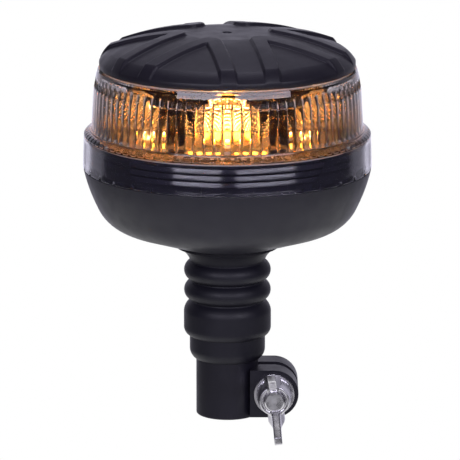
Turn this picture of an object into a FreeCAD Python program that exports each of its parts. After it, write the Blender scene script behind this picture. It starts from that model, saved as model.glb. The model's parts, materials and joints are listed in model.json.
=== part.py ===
"""An amber LED beacon on a flexible rubber mount with a clamp socket for a pole stud.

Millimetres, +Z up. The origin is on the axis at the mouth of the pole socket. The clamp lugs point
along +X, and the front of the beacon, with the wing nut, faces -Y.
"""
import FreeCAD, Part
import math
import os
import re
import Sketcher

RIB_COUNT = 6
LED_COUNT = 6
THREAD_RIDGES = 3
CONVOLUTIONS = 2
POSTS = 3
RETAINER_SCREWS = 4
BOWL_STRETCHES = 3
TINY = 1e-9
FORWARD = FreeCAD.Rotation(FreeCAD.Vector(1, 0, 0), 90)

SIZES = {
    # Clearances
    "fit_gap": 0.1,
    "seat_gap": 0.05,
    "screw_gap": 0.05,
    # Pole socket
    "stud_bore_radius": 12.1,
    "clamp_depth": 38.0,
    "chamber_relief": 0.5,
    "chamber_height": 8.0,
    "socket_wall": 3.4,
    "socket_roof": 4.0,
    "socket_edge": 0.8,
    "anchor_rise": 1.9,
    "anchor_height": 4.0,
    # Clamp lugs
    "lug_bury": 4.3,
    "lug_wall": 6.5,
    "lug_foot": 1.3,
    "lug_half_width": 14.5,
    "slit_width": 5.4,
    "slit_over": 2.2,
    # Clamp bolt, washer and wing nut
    "bolt_radius": 5.0,
    "bolt_inset": 2.2,
    "bolt_clearance": 0.5,
    "bolt_chamfer": 0.6,
    "bolt_proud": 1.6,
    "head_margin": 6.0,
    "head_height": 6.4,
    "head_recess": 0.6,
    "head_pocket_gap": 0.4,
    "washer_width": 5.0,
    "washer_clearance": 0.25,
    "washer_thickness": 2.0,
    "nut_gap": 0.05,
    "nut_base_wall": 4.0,
    "nut_front_wall": 2.4,
    "nut_height": 11.5,
    "wing_root_wall": 1.0,
    "wing_foot": 1.0,
    "wing_length": 13.2,
    "wing_lead": 16.0,
    "wing_tip_radius": 2.6,
    "wing_thickness": 4.2,
    "wing_tilt": 6.0,
    # Contacts
    "carrier_flange_height": 2.5,
    "carrier_flange_width": 2.1,
    "carrier_floor": 2.0,
    "carrier_wall": 1.6,
    "carrier_clip": 1.3,
    "carrier_clip_height": 1.5,
    "carrier_barrel": 8.0,
    "plunger_radius": 2.5,
    "plunger_gap": 0.08,
    "plunger_reach": 3.0,
    "plunger_collar_width": 1.5,
    "plunger_collar_gap": 0.3,
    "plunger_collar_height": 1.5,
    "plunger_stem_radius": 1.8,
    "plunger_stem_length": 5.0,
    "ring_thickness": 1.0,
    "ring_gap": 0.3,
    "rivet_radius": 1.2,
    "rivet_head_radius": 2.1,
    "rivet_head_height": 1.2,
    "pin_radius": 0.9,
    "pin_length": 3.0,
    "terminal_plug_height": 1.5,
    "terminal_flange_height": 1.2,
    "spring_inset": 0.8,
    "spring_wire_radius": 0.45,
    "spring_turns": 6.0,
    # Rubber bellows
    "sleeve_gap": 1.4,
    "sleeve_foot": 0.7,
    "sleeve_wall": 3.1,
    "sleeve_drop": 9.6,
    "sleeve_round_height": 5.0,
    "sleeve_round_radius": 6.0,
    "barrel_rise": 2.9,
    "barrel_over": 2.3,
    "barrel_round_height": 4.0,
    "barrel_round_radius": 4.6,
    "barrel_shoulder_height": 6.1,
    "barrel_shoulder_radius": 7.0,
    "groove_depth": 2.9,
    "groove_width": 0.9,
    "convolution_pitch": 10.1,
    "convolution_ease": 0.6,
    "collar_rise": 3.8,
    "collar_height": 1.7,
    "collar_flare_height": 7.0,
    "collar_flare_radius": 11.0,
    "bellows_wall": 4.2,
    "bellows_roof": 1.6,
    "neck_wall": 4.7,
    "neck_bore_drop": 2.6,
    "top_flange_width": 4.9,
    "top_flange_height": 3.0,
    # Wires through the bellows
    "wire_radius": 1.2,
    "wire_margin": 1.3,
    "wire_bow": 2.4,
    "wire_lead": 0.4,
    # Bowl
    "floor_thickness": 3.0,
    "floor_margin": 1.6,
    "bowl_wall": 2.6,
    "bowl_height": 38.1,
    "rim_radius": 70.8,
    "knee_inset": 17.8,
    "knee_rise": 8.5,
    "turn_inset": 6.6,
    "turn_rise": 19.3,
    "knee_round": 20.0,
    "side_round": 80.0,
    # Threaded collar of the bowl
    "thread_collar_inset": 4.2,
    "thread_collar_wall": 3.0,
    "thread_collar_height": 14.6,
    "thread_start": 5.55,
    "thread_pitch": 3.3,
    "thread_depth": 1.8,
    "thread_width": 2.8,
    "thread_slope": 0.67,
    "thread_lip": 0.3,
    "thread_round": 12.0,
    "ledge_drop": 4.0,
    "ledge_width": 3.5,
    "ledge_thickness": 2.5,
    # Top end of the bellows in the bowl
    "retainer_gap": 0.6,
    "retainer_edge": 3.2,
    "retainer_thickness": 3.0,
    "retainer_post_radius": 2.6,
    "retainer_post_gap": 1.1,
    "grommet_depth": 4.0,
    "grommet_flange_width": 3.2,
    "grommet_flange_height": 2.0,
    "grommet_wire_gap": 0.3,
    # Lens
    "seam_gap": 0.4,
    "seal_thickness": 1.2,
    "skirt_overhang": 0.2,
    "skirt_taper": 0.5,
    "skirt_over": 0.4,
    "skirt_round": 4.6,
    "skirt_wall": 2.2,
    "shoulder_inset": 3.6,
    "shoulder_rise": 4.0,
    "lens_wall": 2.6,
    "lens_lean": 1.2,
    "lens_straight": 18.7,
    "lens_crown": 46.0,
    "lens_crown_inset": 2.2,
    "lens_crown_rise": 11.6,
    "lens_flange_width": 5.3,
    "lens_flange_height": 2.4,
    # Cap
    "cap_seal_thickness": 0.8,
    "cap_seal_width": 3.4,
    "cap_inset": 0.7,
    "cap_band": 3.1,
    "cap_flank_round": 16.0,
    "crease_inset": 5.0,
    "crease_rise": 8.1,
    "dome_rise": 8.8,
    "dome_round": 140.0,
    "hub_radius": 20.0,
    "cap_wall": 2.5,
    "cap_lip": 3.6,
    "rib_rise": 1.5,
    "rib_foot": 3.5,
    "rib_gap": 1.0,
    "rib_apex_inset": 5.5,
    "rib_width": 15.0,
    "rib_spread": 30.5,
    "rib_first_angle": -109.4,
    "vent_radius": 2.0,
    "vent_margin": 4.0,
    "vent_membrane_thickness": 0.6,
    "cap_boss_inset": 6.0,
    "cap_boss_radius": 4.0,
    # LED engine
    "heat_disc_thickness": 3.5,
    "heat_disc_gap": 0.4,
    "pedestal_edge": 3.0,
    "pedestal_height": 5.0,
    "fin_depth": 9.0,
    "fin_width": 2.5,
    "fin_inner_radius": 24.0,
    "fin_outer_radius": 44.0,
    "heat_post_offset": 6.0,
    "post_radius": 3.5,
    "board_edge": 1.0,
    "board_thickness": 1.6,
    "led_inset": 35.8,
    "led_width": 5.0,
    "led_height": 1.6,
    "dome_radius": 2.2,
    "reflector_reach": 14.0,
    "reflector_drop": 1.7,
    "reflector_plate": 2.6,
    "reflector_wall": 5.0,
    "bowl_focus": 7.0,
    "bowl_lift": 2.0,
    "bowl_reach": 26.0,
    "bowl_flat": 1.0,
    "reflector_screw_offset": 1.0,
    "reflector_screw_grip": 6.4,
    # Driver
    "driver_rise": 24.7,
    "driver_margin": 4.5,
    "driver_post_inset": 8.0,
    "connector_width": 12.0,
    "connector_length": 18.0,
    "connector_height": 8.0,
    "lead_radius": 0.9,
    "lead_gap": 0.6,
    "lead_spacing": 8.0,
    "lead_distance": 18.0,
    "inductor_ring": 6.0,
    "inductor_radius": 3.2,
    "capacitor_radius": 4.0,
    "capacitor_height": 9.0,
    "capacitor_ring": 30.0,
    "transistor_width": 6.5,
    "transistor_length": 9.0,
    "transistor_height": 2.4,
    "transistor_ring": 26.0,
    "chip_width": 7.0,
    "chip_height": 1.6,
    # Screws
    "screw_radius": 1.5,
    "screw_head_radius": 2.7,
    "screw_head_height": 1.8,
    "screw_depth": 8.0,
    "screw_socket_across": 2.0,
    "screw_socket_depth": 1.0,
    "cap_screw_length": 14.0,
}

# Sizes and heights that follow from the ones above, so that pieces keep meeting when a size changes
FOLLOWING = {
    # Pole socket and lugs
    "chamber_radius": "stud_bore_radius + chamber_relief",
    "chamber_top": "clamp_depth + chamber_height",
    "socket_radius": "stud_bore_radius + socket_wall",
    "socket_top": "chamber_top + socket_roof",
    "anchor_radius": "socket_radius + anchor_rise",
    "lug_start": "socket_radius - lug_bury",
    "lug_reach": "socket_radius + bolt_inset + bolt_clearance + bolt_radius",
    "lug_radius": "bolt_radius + bolt_clearance + lug_wall",
    "bolt_height": "lug_radius + lug_foot",
    "slit_top": "bolt_height + lug_radius + slit_over",
    # Clamp bolt, washer and wing nut
    "head_across": "2 * bolt_radius + head_margin",
    "head_pocket_depth": "head_height + head_recess",
    "washer_radius": "bolt_radius + washer_width",
    "nut_base_radius": "bolt_radius + nut_base_wall",
    "nut_front_radius": "bolt_radius + nut_front_wall",
    "nut_face": "lug_half_width + washer_thickness + 2 * seat_gap",
    "wing_root": "bolt_radius + wing_root_wall",
    "wing_half_span": "bolt_radius + wing_length",
    "wing_forward": "nut_height + wing_lead",
    # Contacts
    "plunger_collar_radius": "plunger_radius + plunger_collar_width",
    "spring_chamber_radius": "plunger_collar_radius + plunger_collar_gap",
    "spring_coil_radius": "plunger_collar_radius - spring_inset",
    "carrier_neck_radius": "spring_chamber_radius + carrier_wall",
    "carrier_flange_radius": "carrier_neck_radius + carrier_flange_width",
    "carrier_clip_radius": "carrier_neck_radius + carrier_clip",
    "carrier_bottom": "chamber_top - carrier_flange_height",
    "carrier_top": "socket_top + carrier_barrel",
    "plunger_seat": "carrier_bottom + carrier_floor + seat_gap",
    "plunger_collar_top": "plunger_seat + plunger_collar_height",
    "terminal_bottom": "carrier_top - terminal_plug_height",
    "terminal_top": "carrier_top + terminal_flange_height + pin_length",
    "ring_inner_radius": "carrier_flange_radius + ring_gap",
    "ring_outer_radius": "chamber_radius - ring_gap",
    "rivet_ring": "(ring_inner_radius + ring_outer_radius) / 2",
    "rivet_top": "socket_top + rivet_head_height + pin_length",
    # Rubber bellows and wires
    "sleeve_bottom": "slit_top + sleeve_gap",
    "sleeve_radius": "socket_radius + fit_gap + sleeve_wall",
    "sleeve_top": "socket_top - sleeve_drop",
    "barrel_radius": "sleeve_radius + barrel_rise",
    "barrel_bottom": "sleeve_top + barrel_round_height",
    "barrel_top": "socket_top + barrel_over",
    "groove_radius": "barrel_radius - groove_depth",
    "groove_low": "barrel_top + barrel_shoulder_height",
    "groove_high": f"groove_low + {CONVOLUTIONS} * convolution_pitch",
    "convolution_radius": "(convolution_pitch - groove_width) / 2 + convolution_ease",
    "collar_radius": "barrel_radius + collar_rise",
    "collar_bottom": "groove_high + collar_flare_height",
    "neck_bore_radius": "rivet_ring + wire_radius + wire_margin",
    "neck_bore_bottom": "collar_bottom - neck_bore_drop",
    "neck_hole_radius": "neck_bore_radius + neck_wall + fit_gap",
    "top_flange_radius": "neck_hole_radius + top_flange_width",
    "wire_straight_start": "retainer_bottom - grommet_depth - wire_lead",
    # Bowl and what it holds
    "floor_bottom": "collar_bottom + collar_height",
    "floor_top": "floor_bottom + floor_thickness",
    "floor_radius": "collar_radius + floor_margin",
    "knee_radius": "rim_radius - knee_inset",
    "knee_height": "floor_bottom + knee_rise",
    "turn_radius": "rim_radius - turn_inset",
    "turn_height": "floor_bottom + turn_rise",
    "seam_height": "floor_bottom + bowl_height",
    "thread_collar_radius": "rim_radius - thread_collar_inset",
    "thread_collar_top": "seam_height + thread_collar_height",
    "thread_first": "seam_height + thread_start",
    "ledge_height": "thread_collar_top - ledge_drop",
    "retainer_inner_radius": "neck_bore_radius + retainer_gap",
    "retainer_screw_ring": "top_flange_radius + retainer_post_radius + retainer_post_gap",
    "retainer_radius": "retainer_screw_ring + retainer_edge",
    "retainer_bottom": "floor_top + top_flange_height + fit_gap",
    "retainer_top": "retainer_bottom + retainer_thickness",
    "grommet_flange_radius": "neck_bore_radius + grommet_flange_width",
    # Lens and cap
    "lens_bottom": "seam_height + seam_gap",
    "lens_seat": "thread_collar_top + seal_thickness",
    "skirt_radius": "rim_radius + skirt_overhang",
    "skirt_top_radius": "skirt_radius - skirt_taper",
    "skirt_top": "thread_collar_top + skirt_over",
    "shoulder_radius": "skirt_top_radius - shoulder_inset",
    "shoulder_height": "skirt_top + shoulder_rise",
    "lens_mid_radius": "shoulder_radius - lens_lean",
    "lens_mid_height": "shoulder_height + lens_straight",
    "lens_top_radius": "lens_mid_radius - lens_crown_inset",
    "lens_top": "lens_mid_height + lens_crown_rise",
    "lens_flange_radius": "lens_top_radius - lens_flange_width",
    "cap_bottom": "lens_top + cap_seal_thickness",
    "cap_rim_radius": "lens_top_radius - cap_inset",
    "crease_radius": "cap_rim_radius - crease_inset",
    "crease_height": "cap_bottom + crease_rise",
    "hub_height": "crease_height + dome_rise",
    "rib_start": "hub_radius + rib_gap",
    "rib_apex": "hub_radius - rib_apex_inset",
    "rib_panel_apex": "rib_apex + rib_width",
    "vent_membrane_radius": "vent_radius + vent_margin",
    "cap_boss_ring": "hub_radius - cap_boss_inset",
    # LED engine and driver
    "led_ring": "rim_radius - led_inset",
    "reflector_radius": "led_ring + reflector_reach",
    "reflector_hollow_radius": "led_ring - bowl_focus - reflector_wall",
    "reflector_top": "lens_top - reflector_drop",
    "reflector_screw_ring": "led_ring + reflector_screw_offset",
    "reflector_screw_length": "pedestal_height + board_thickness + reflector_screw_grip",
    "led_board_radius": "reflector_radius + board_edge",
    "pedestal_radius": "led_board_radius + pedestal_edge",
    "pedestal_top": "ledge_height + pedestal_height",
    "led_board_top": "pedestal_top + board_thickness",
    "led_top": "led_board_top + led_height",
    "heat_post_ring": "pedestal_radius + heat_post_offset",
    "driver_bottom": "floor_bottom + driver_rise",
    "driver_top": "driver_bottom + board_thickness",
    "driver_radius": "heat_post_ring - post_radius - driver_margin",
    "driver_post_ring": "driver_radius - driver_post_inset",
    "connector_bottom": "driver_bottom - connector_height",
}

doc = FreeCAD.newDocument("led_beacon")
sheet = doc.addObject("Spreadsheet::Sheet", "Sizes")
for row, (alias, size) in enumerate(SIZES.items(), start=1):
    sheet.set(f"A{row}", alias)
    sheet.set(f"B{row}", str(size))
    sheet.setAlias(f"B{row}", alias)
doc.recompute()

SIZE_NAME = re.compile(r"\b(" + "|".join([*SIZES, *FOLLOWING]) + r")\b")


def bound(formula):
    """The formula in terms of the sheet's cells, with each size that follows others spelled out."""
    def spelled(match):
        name = match.group(1)
        return f"({bound(FOLLOWING[name])})" if name in FOLLOWING else f"Sizes.{name}"

    return SIZE_NAME.sub(spelled, formula)


def number(formula):
    """What the formula is worth with the sizes as they are."""
    return float(sheet.evalExpression(bound(formula)))


def place(item, across="0", deep="0", up="0"):
    """Binds an object's position to three formulas."""
    for axis, formula in zip("xyz", (across, deep, up)):
        item.setExpression(f"Placement.Base.{axis}", bound(formula))
    return item


def on_ring(radius, angle):
    """The two formulas of a point on a circle about the axis."""
    return f"{radius} * cos({angle})", f"{radius} * sin({angle})"


def even_angles(count, first=0):
    """Angles in degrees of evenly spaced things."""
    return [first + 360 * index / count for index in range(count)]


def new_body(name):
    """An empty body."""
    return doc.addObject("PartDesign::Body", name)


def new_sketch(body, name, role, offset="0"):
    """A sketch on one of the body's own planes, moved along that plane's normal."""
    sketch = body.newObject("Sketcher::SketchObject", name)
    plane = next(item for item in body.Origin.OriginFeatures if item.Role == role)
    sketch.AttachmentSupport = (plane, [""])
    sketch.MapMode = "FlatFace"
    sketch.setExpression("AttachmentOffset.Base.z", bound(offset))
    return sketch


def hold_point(edge, end, across, up):
    """Constraints, with their formulas, that hold a sketch point at (across, up)."""
    held = []
    for kind, axis, formula in (("DistanceX", -2, across), ("DistanceY", -1, up)):
        size = number(formula)
        if abs(size) < TINY:
            held.append((Sketcher.Constraint("PointOnObject", edge, end, axis), None))
        elif size > 0:
            held.append((Sketcher.Constraint(kind, -1, 1, edge, end, size), formula))
        else:
            held.append((Sketcher.Constraint(kind, edge, end, -1, 1, -size), f"-({formula})"))
    return held


def apply_constraints(sketch, held):
    """Adds constraints to a sketch and binds the ones that have formulas."""
    indices = sketch.addConstraint([constraint for constraint, formula in held])
    for index, (constraint, formula) in zip(indices, held):
        if formula:
            sketch.setExpression(f"Constraints[{index}]", bound(formula))


def arc_between(start, finish, radius, turn):
    """An arc from start to finish that turns left (+1) or right (-1)."""
    chord = finish - start
    left = FreeCAD.Vector(-chord.y, chord.x, 0).normalize()
    rise = math.sqrt(max(radius**2 - (chord.Length / 2) ** 2, 0))
    centre = (start + finish) / 2 + left * rise * turn
    first, last = (start, finish) if turn > 0 else (finish, start)
    first_angle = math.atan2(first.y - centre.y, first.x - centre.x)
    last_angle = math.atan2(last.y - centre.y, last.x - centre.x)
    if last_angle < first_angle:
        last_angle += 2 * math.pi
    circle = Part.Circle(centre, FreeCAD.Vector(0, 0, 1), radius)
    return Part.ArcOfCircle(circle, first_angle, last_angle)


def draw_outline(sketch, points):
    """Draws a closed outline with every corner bound to the sheet.

    A point is (across, up), or (across, up, radius) where the edge that leaves it is an arc. The
    radius starts with + for an arc that turns left on its way to the next point, and - for right.
    """
    spots = [FreeCAD.Vector(number(point[0]), number(point[1]), 0) for point in points]
    edges = []
    held = []
    for index, point in enumerate(points):
        start = spots[index]
        finish = spots[(index + 1) % len(points)]
        if len(point) == 2:
            edge = sketch.addGeometry(Part.LineSegment(start, finish), False)
            edges.append((edge, 1, 2))
            continue
        turn = 1 if point[2][0] == "+" else -1
        radius = number(point[2][1:])
        edge = sketch.addGeometry(arc_between(start, finish, radius, turn), False)
        edges.append((edge, 1, 2) if turn > 0 else (edge, 2, 1))
        held.append((Sketcher.Constraint("Radius", edge, radius), point[2][1:]))
    for index, (edge, first, last) in enumerate(edges):
        after, after_first, after_last = edges[(index + 1) % len(edges)]
        held.append((Sketcher.Constraint("Coincident", edge, last, after, after_first), None))
    for point, (edge, first, last) in zip(points, edges):
        held.extend(hold_point(edge, first, point[0], point[1]))
    apply_constraints(sketch, held)
    return sketch


def draw_circles(sketch, circles):
    """Draws circles, each (across, up, radius), bound to the sheet."""
    held = []
    for across, up, radius in circles:
        centre = FreeCAD.Vector(number(across), number(up), 0)
        circle = Part.Circle(centre, FreeCAD.Vector(0, 0, 1), number(radius))
        edge = sketch.addGeometry(circle, False)
        held.append((Sketcher.Constraint("Radius", edge, number(radius)), radius))
        held.extend(hold_point(edge, 3, across, up))
    apply_constraints(sketch, held)
    return sketch


def turn_feature(body, kind, name, points):
    """A Revolution or Groove about the body's Z axis, of a half section in (radius, height)."""
    sketch = draw_outline(new_sketch(body, f"{name}_section", "XZ_Plane"), points)
    feature = body.newObject(f"PartDesign::{kind}", f"{name}_turn")
    feature.Profile = sketch
    feature.ReferenceAxis = (sketch, ["V_Axis"])
    feature.Angle = 360.0
    return feature


def turned(name, points):
    """A body turned about Z from a half section in (radius, height)."""
    body = new_body(name)
    turn_feature(body, "Revolution", name, points)
    return body


def pad(body, sketch, length, symmetric=False):
    """Material added to a body from a sketch."""
    feature = body.newObject("PartDesign::Pad", f"{sketch.Name}_pad")
    feature.Profile = sketch
    feature.SideType = "Symmetric" if symmetric else "One side"
    feature.setExpression("Length", bound(length))
    return feature


def pocket(body, sketch, length, symmetric=False, reverse=False):
    """Material cut from a body, with a check that some was cut."""
    doc.recompute()
    before = body.Shape.Volume
    feature = body.newObject("PartDesign::Pocket", f"{sketch.Name}_pocket")
    feature.Profile = sketch
    feature.SideType = "Symmetric" if symmetric else "One side"
    feature.Reversed = reverse
    feature.setExpression("Length", bound(length))
    doc.recompute()
    if not body.Shape.Volume < before - TINY:
        raise RuntimeError(f"{feature.Name} cuts nothing")
    return feature


def hexagon(across, up, width):
    """The outline of a hexagon of the given width across its flats."""
    corner = f"({width}) / sqrt(3)"
    return [(f"{across} + {corner} * cos({angle})", f"{up} + {corner} * sin({angle})")
            for angle in even_angles(6)]


def rod(name, radius, height, across="0", deep="0", up="0"):
    """An upright cylinder."""
    item = doc.addObject("Part::Cylinder", name)
    item.setExpression("Radius", bound(radius))
    item.setExpression("Height", bound(height))
    return place(item, across, deep, up)


def rods(name, radius, height, spots, up="0"):
    """Upright cylinders at several (across, deep) spots."""
    return [rod(f"{name}_{index}", radius, height, across, deep, up)
            for index, (across, deep) in enumerate(spots)]


def block(name, width, length, height, spot, angle, up):
    """A box centred on a spot of the plan, turned about the vertical."""
    item = doc.addObject("Part::Box", name)
    item.setExpression("Length", bound(width))
    item.setExpression("Width", bound(length))
    item.setExpression("Height", bound(height))
    item.Placement.Rotation = FreeCAD.Rotation(FreeCAD.Vector(0, 0, 1), angle)
    across, deep = spot
    half_width = f"({width}) / 2"
    half_length = f"({length}) / 2"
    corner_across = f"{across} - {half_width} * cos({angle}) + {half_length} * sin({angle})"
    corner_deep = f"{deep} - {half_width} * sin({angle}) - {half_length} * cos({angle})"
    return place(item, corner_across, corner_deep, up)


def cut(name, base, tool):
    """The base without the tool."""
    item = doc.addObject("Part::Cut", name)
    item.Base = base
    item.Tool = tool
    return item


def common(name, base, tool):
    """What the base and the tool share."""
    item = doc.addObject("Part::Common", name)
    item.Base = base
    item.Tool = tool
    return item


def fuse(name, shapes):
    """Several shapes joined into one solid."""
    item = doc.addObject("Part::MultiFuse", name)
    item.Shapes = shapes
    return item


def group(name, items):
    """Separate solids kept in one node."""
    item = doc.addObject("Part::Compound", name)
    item.Links = items
    return item


def screw(name, length, spot, seat, points_up=False):
    """A screw with a hexagon socket in its head, whose head rests on the seat's height."""
    body = turned(name, [
        ("0", "0"),
        ("screw_head_radius", "0"),
        ("screw_head_radius", "screw_head_height"),
        ("screw_radius", "screw_head_height"),
        ("screw_radius", f"screw_head_height + {length}"),
        ("0", f"screw_head_height + {length}"),
    ])
    sketch = draw_outline(new_sketch(body, f"{name}_socket", "XY_Plane"),
                          hexagon("0", "0", "screw_socket_across"))
    pocket(body, sketch, "screw_socket_depth", reverse=True)
    if points_up:
        return place(body, spot[0], spot[1], f"{seat} - screw_head_height")
    body.Placement.Rotation = FreeCAD.Rotation(FreeCAD.Vector(1, 0, 0), 180)
    return place(body, spot[0], spot[1], f"{seat} + screw_head_height")


def screws(name, length, spots, seat, points_up=False):
    """A group of equal screws."""
    return group(name, [screw(f"{name}_{index}", length, spot, seat, points_up)
                        for index, spot in enumerate(spots)])


# Places that several pieces share

WIRE_SPOTS = [("0", "0"), ("0", "rivet_ring")]
RETAINER_SPOTS = [on_ring("retainer_screw_ring", angle) for angle in even_angles(RETAINER_SCREWS, 45)]
DRIVER_POST_SPOTS = [on_ring("driver_post_ring", angle) for angle in even_angles(POSTS, 90)]
HEAT_POST_SPOTS = [on_ring("heat_post_ring", angle) for angle in even_angles(POSTS, 30)]
REFLECTOR_SPOTS = [on_ring("reflector_screw_ring", angle) for angle in even_angles(POSTS, 0)]
CAP_BOSS_SPOTS = [on_ring("cap_boss_ring", angle) for angle in even_angles(POSTS, 90)]
LED_ANGLES = even_angles(LED_COUNT, -90)
LEAD_SPOTS = [(f"{side} * lead_spacing / 2", "lead_distance") for side in (-1, 1)]


# Socket and clamp

def socket_clamp():
    """The pole socket with its two clamp lugs, slit, bolt hole and anchor flange."""
    body = turned("socket_clamp", [
        ("0", "0"),
        ("socket_radius - socket_edge", "0", "+socket_edge"),
        ("socket_radius", "socket_edge"),
        ("socket_radius", "socket_top - anchor_height"),
        ("anchor_radius", "socket_top - anchor_height"),
        ("anchor_radius", "socket_top"),
        ("0", "socket_top"),
    ])
    lugs = draw_outline(new_sketch(body, "lugs", "XZ_Plane"), [
        ("lug_start", "bolt_height - lug_radius"),
        ("lug_reach", "bolt_height - lug_radius", "+lug_radius"),
        ("lug_reach + lug_radius", "bolt_height", "+lug_radius"),
        ("lug_reach", "bolt_height + lug_radius"),
        ("lug_start", "bolt_height + lug_radius"),
    ])
    pad(body, lugs, "2 * lug_half_width", symmetric=True)
    turn_feature(body, "Groove", "stud_bore", [
        ("0", "0"),
        ("stud_bore_radius", "0"),
        ("stud_bore_radius", "clamp_depth"),
        ("chamber_radius", "clamp_depth"),
        ("chamber_radius", "socket_top"),
        ("0", "socket_top"),
    ])
    slit = draw_outline(new_sketch(body, "slit", "XZ_Plane"), [
        ("stud_bore_radius / 2", "0"),
        ("lug_reach + 2 * lug_radius", "0"),
        ("lug_reach + 2 * lug_radius", "slit_top"),
        ("stud_bore_radius / 2", "slit_top"),
    ])
    pocket(body, slit, "slit_width", symmetric=True)
    bolt_hole = draw_circles(new_sketch(body, "bolt_hole", "XZ_Plane"),
                             [("lug_reach", "bolt_height", "bolt_radius + bolt_clearance")])
    pocket(body, bolt_hole, "3 * lug_half_width", symmetric=True)
    head_pocket = draw_outline(new_sketch(body, "head_pocket", "XZ_Plane", "-lug_half_width"),
                               hexagon("lug_reach", "bolt_height", "head_across + head_pocket_gap"))
    pocket(body, head_pocket, "head_pocket_depth", reverse=True)
    return body


def clamp_bolt():
    """The hexagon bolt across the lugs, with its head in the rear lug's pocket."""
    head_seat = "(lug_half_width - head_pocket_depth + seat_gap)"
    length = f"({head_seat} + nut_face + nut_height + bolt_proud + head_height)"
    body = new_body("clamp_bolt")
    head = draw_outline(new_sketch(body, "bolt_head", "XY_Plane"), hexagon("0", "0", "head_across"))
    pad(body, head, "head_height")
    turn_feature(body, "Revolution", "bolt_shank", [
        ("0", "head_height"),
        ("bolt_radius", "head_height"),
        ("bolt_radius", f"{length} - bolt_chamfer"),
        ("bolt_radius - bolt_chamfer", length),
        ("0", length),
    ])
    body.Placement.Rotation = FORWARD
    return place(body, "lug_reach", f"{head_seat} + head_height", "bolt_height")


def clamp_washer():
    """The flat washer under the wing nut."""
    body = turned("clamp_washer", [
        ("bolt_radius + washer_clearance", "0"),
        ("washer_radius", "0"),
        ("washer_radius", "washer_thickness"),
        ("bolt_radius + washer_clearance", "washer_thickness"),
    ])
    body.Placement.Rotation = FORWARD
    return place(body, "lug_reach", "-(lug_half_width + seat_gap)", "bolt_height")


def wing_nut():
    """The wing nut: a tapered hub and two wings that lean forward."""
    body = turned("wing_nut", [
        ("bolt_radius + nut_gap", "0"),
        ("nut_base_radius", "0"),
        ("nut_front_radius", "nut_height"),
        ("bolt_radius + nut_gap", "nut_height"),
    ])

    def tip(angle):
        across = f"wing_half_span - wing_tip_radius + wing_tip_radius * cos({angle})"
        return across, f"wing_forward - wing_tip_radius + wing_tip_radius * sin({angle})"

    wing = draw_outline(new_sketch(body, "wing", "XZ_Plane"), [
        ("wing_root", "wing_foot"),
        (*tip(-30), "+wing_tip_radius"),
        (*tip(50), "+wing_tip_radius"),
        tip(135),
        ("wing_root", "nut_height - wing_foot"),
    ])
    first_wing = pad(body, wing, "wing_thickness", symmetric=True)
    second_wing = body.newObject("PartDesign::Mirrored", "second_wing")
    second_wing.Originals = [first_wing]
    mirror = next(item for item in body.Origin.OriginFeatures if item.Role == "YZ_Plane")
    second_wing.MirrorPlane = (mirror, [""])
    body.Tip = second_wing
    tilt = FreeCAD.Rotation(FreeCAD.Vector(0, -1, 0), 90 + number("wing_tilt"))
    body.Placement.Rotation = tilt.multiply(FORWARD)
    return place(body, "lug_reach", "-nut_face", "bolt_height")


# Contacts

def contact_plate():
    """The plate that closes the top of the socket and holds the contacts."""
    body = turned("contact_plate", [
        ("carrier_neck_radius + fit_gap", "chamber_top"),
        ("chamber_radius - fit_gap", "chamber_top"),
        ("chamber_radius - fit_gap", "socket_top"),
        ("carrier_neck_radius + fit_gap", "socket_top"),
    ])
    rivet_hole = draw_circles(new_sketch(body, "rivet_hole", "XY_Plane", "socket_top"),
                              [("0", "rivet_ring", "rivet_radius + fit_gap")])
    pocket(body, rivet_hole, "socket_top - chamber_top")
    return body


def contact_carrier():
    """The insulating bush in the contact plate, with the spring's chamber."""
    hole = "plunger_radius + plunger_gap"
    return turned("contact_carrier", [
        (hole, "carrier_bottom"),
        ("carrier_flange_radius", "carrier_bottom"),
        ("carrier_flange_radius", "chamber_top"),
        ("carrier_neck_radius", "chamber_top"),
        ("carrier_neck_radius", "socket_top"),
        ("carrier_clip_radius", "socket_top"),
        ("carrier_neck_radius", "socket_top + carrier_clip_height"),
        ("carrier_neck_radius", "carrier_top"),
        ("spring_chamber_radius", "carrier_top"),
        ("spring_chamber_radius", "carrier_bottom + carrier_floor"),
        (hole, "carrier_bottom + carrier_floor"),
    ])


def centre_contact():
    """The sprung centre pin that meets the top of the stud."""
    tip = "carrier_bottom - plunger_reach"
    return turned("centre_contact", [
        ("0", tip, "+plunger_radius"),
        ("plunger_radius", f"{tip} + plunger_radius"),
        ("plunger_radius", "plunger_seat"),
        ("plunger_collar_radius", "plunger_seat"),
        ("plunger_collar_radius", "plunger_collar_top"),
        ("plunger_stem_radius", "plunger_collar_top"),
        ("plunger_stem_radius", "plunger_collar_top + plunger_stem_length"),
        ("0", "plunger_collar_top + plunger_stem_length"),
    ])


def contact_spring():
    """The coil spring between the centre pin's collar and the terminal."""
    foot = "(plunger_collar_top + spring_wire_radius + seat_gap)"
    height = f"(terminal_bottom - spring_wire_radius - seat_gap - {foot})"
    body = new_body("contact_spring")
    wire = draw_circles(new_sketch(body, "spring_wire", "XZ_Plane"),
                        [("spring_coil_radius", foot, "spring_wire_radius")])
    coil = body.newObject("PartDesign::AdditiveHelix", "spring_coil")
    coil.Profile = wire
    coil.ReferenceAxis = (wire, ["V_Axis"])
    coil.Mode = "height-turns-angle"
    coil.setExpression("Height", bound(height))
    coil.setExpression("Turns", bound("spring_turns"))
    return body


def contact_terminal():
    """The terminal that closes the spring's chamber and takes the positive wire."""
    return turned("contact_terminal", [
        ("0", "terminal_bottom"),
        ("spring_chamber_radius - fit_gap", "terminal_bottom"),
        ("spring_chamber_radius - fit_gap", "carrier_top"),
        ("carrier_neck_radius", "carrier_top"),
        ("carrier_neck_radius", "carrier_top + terminal_flange_height"),
        ("pin_radius", "carrier_top + terminal_flange_height"),
        ("pin_radius", "terminal_top"),
        ("0", "terminal_top"),
    ])


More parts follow.
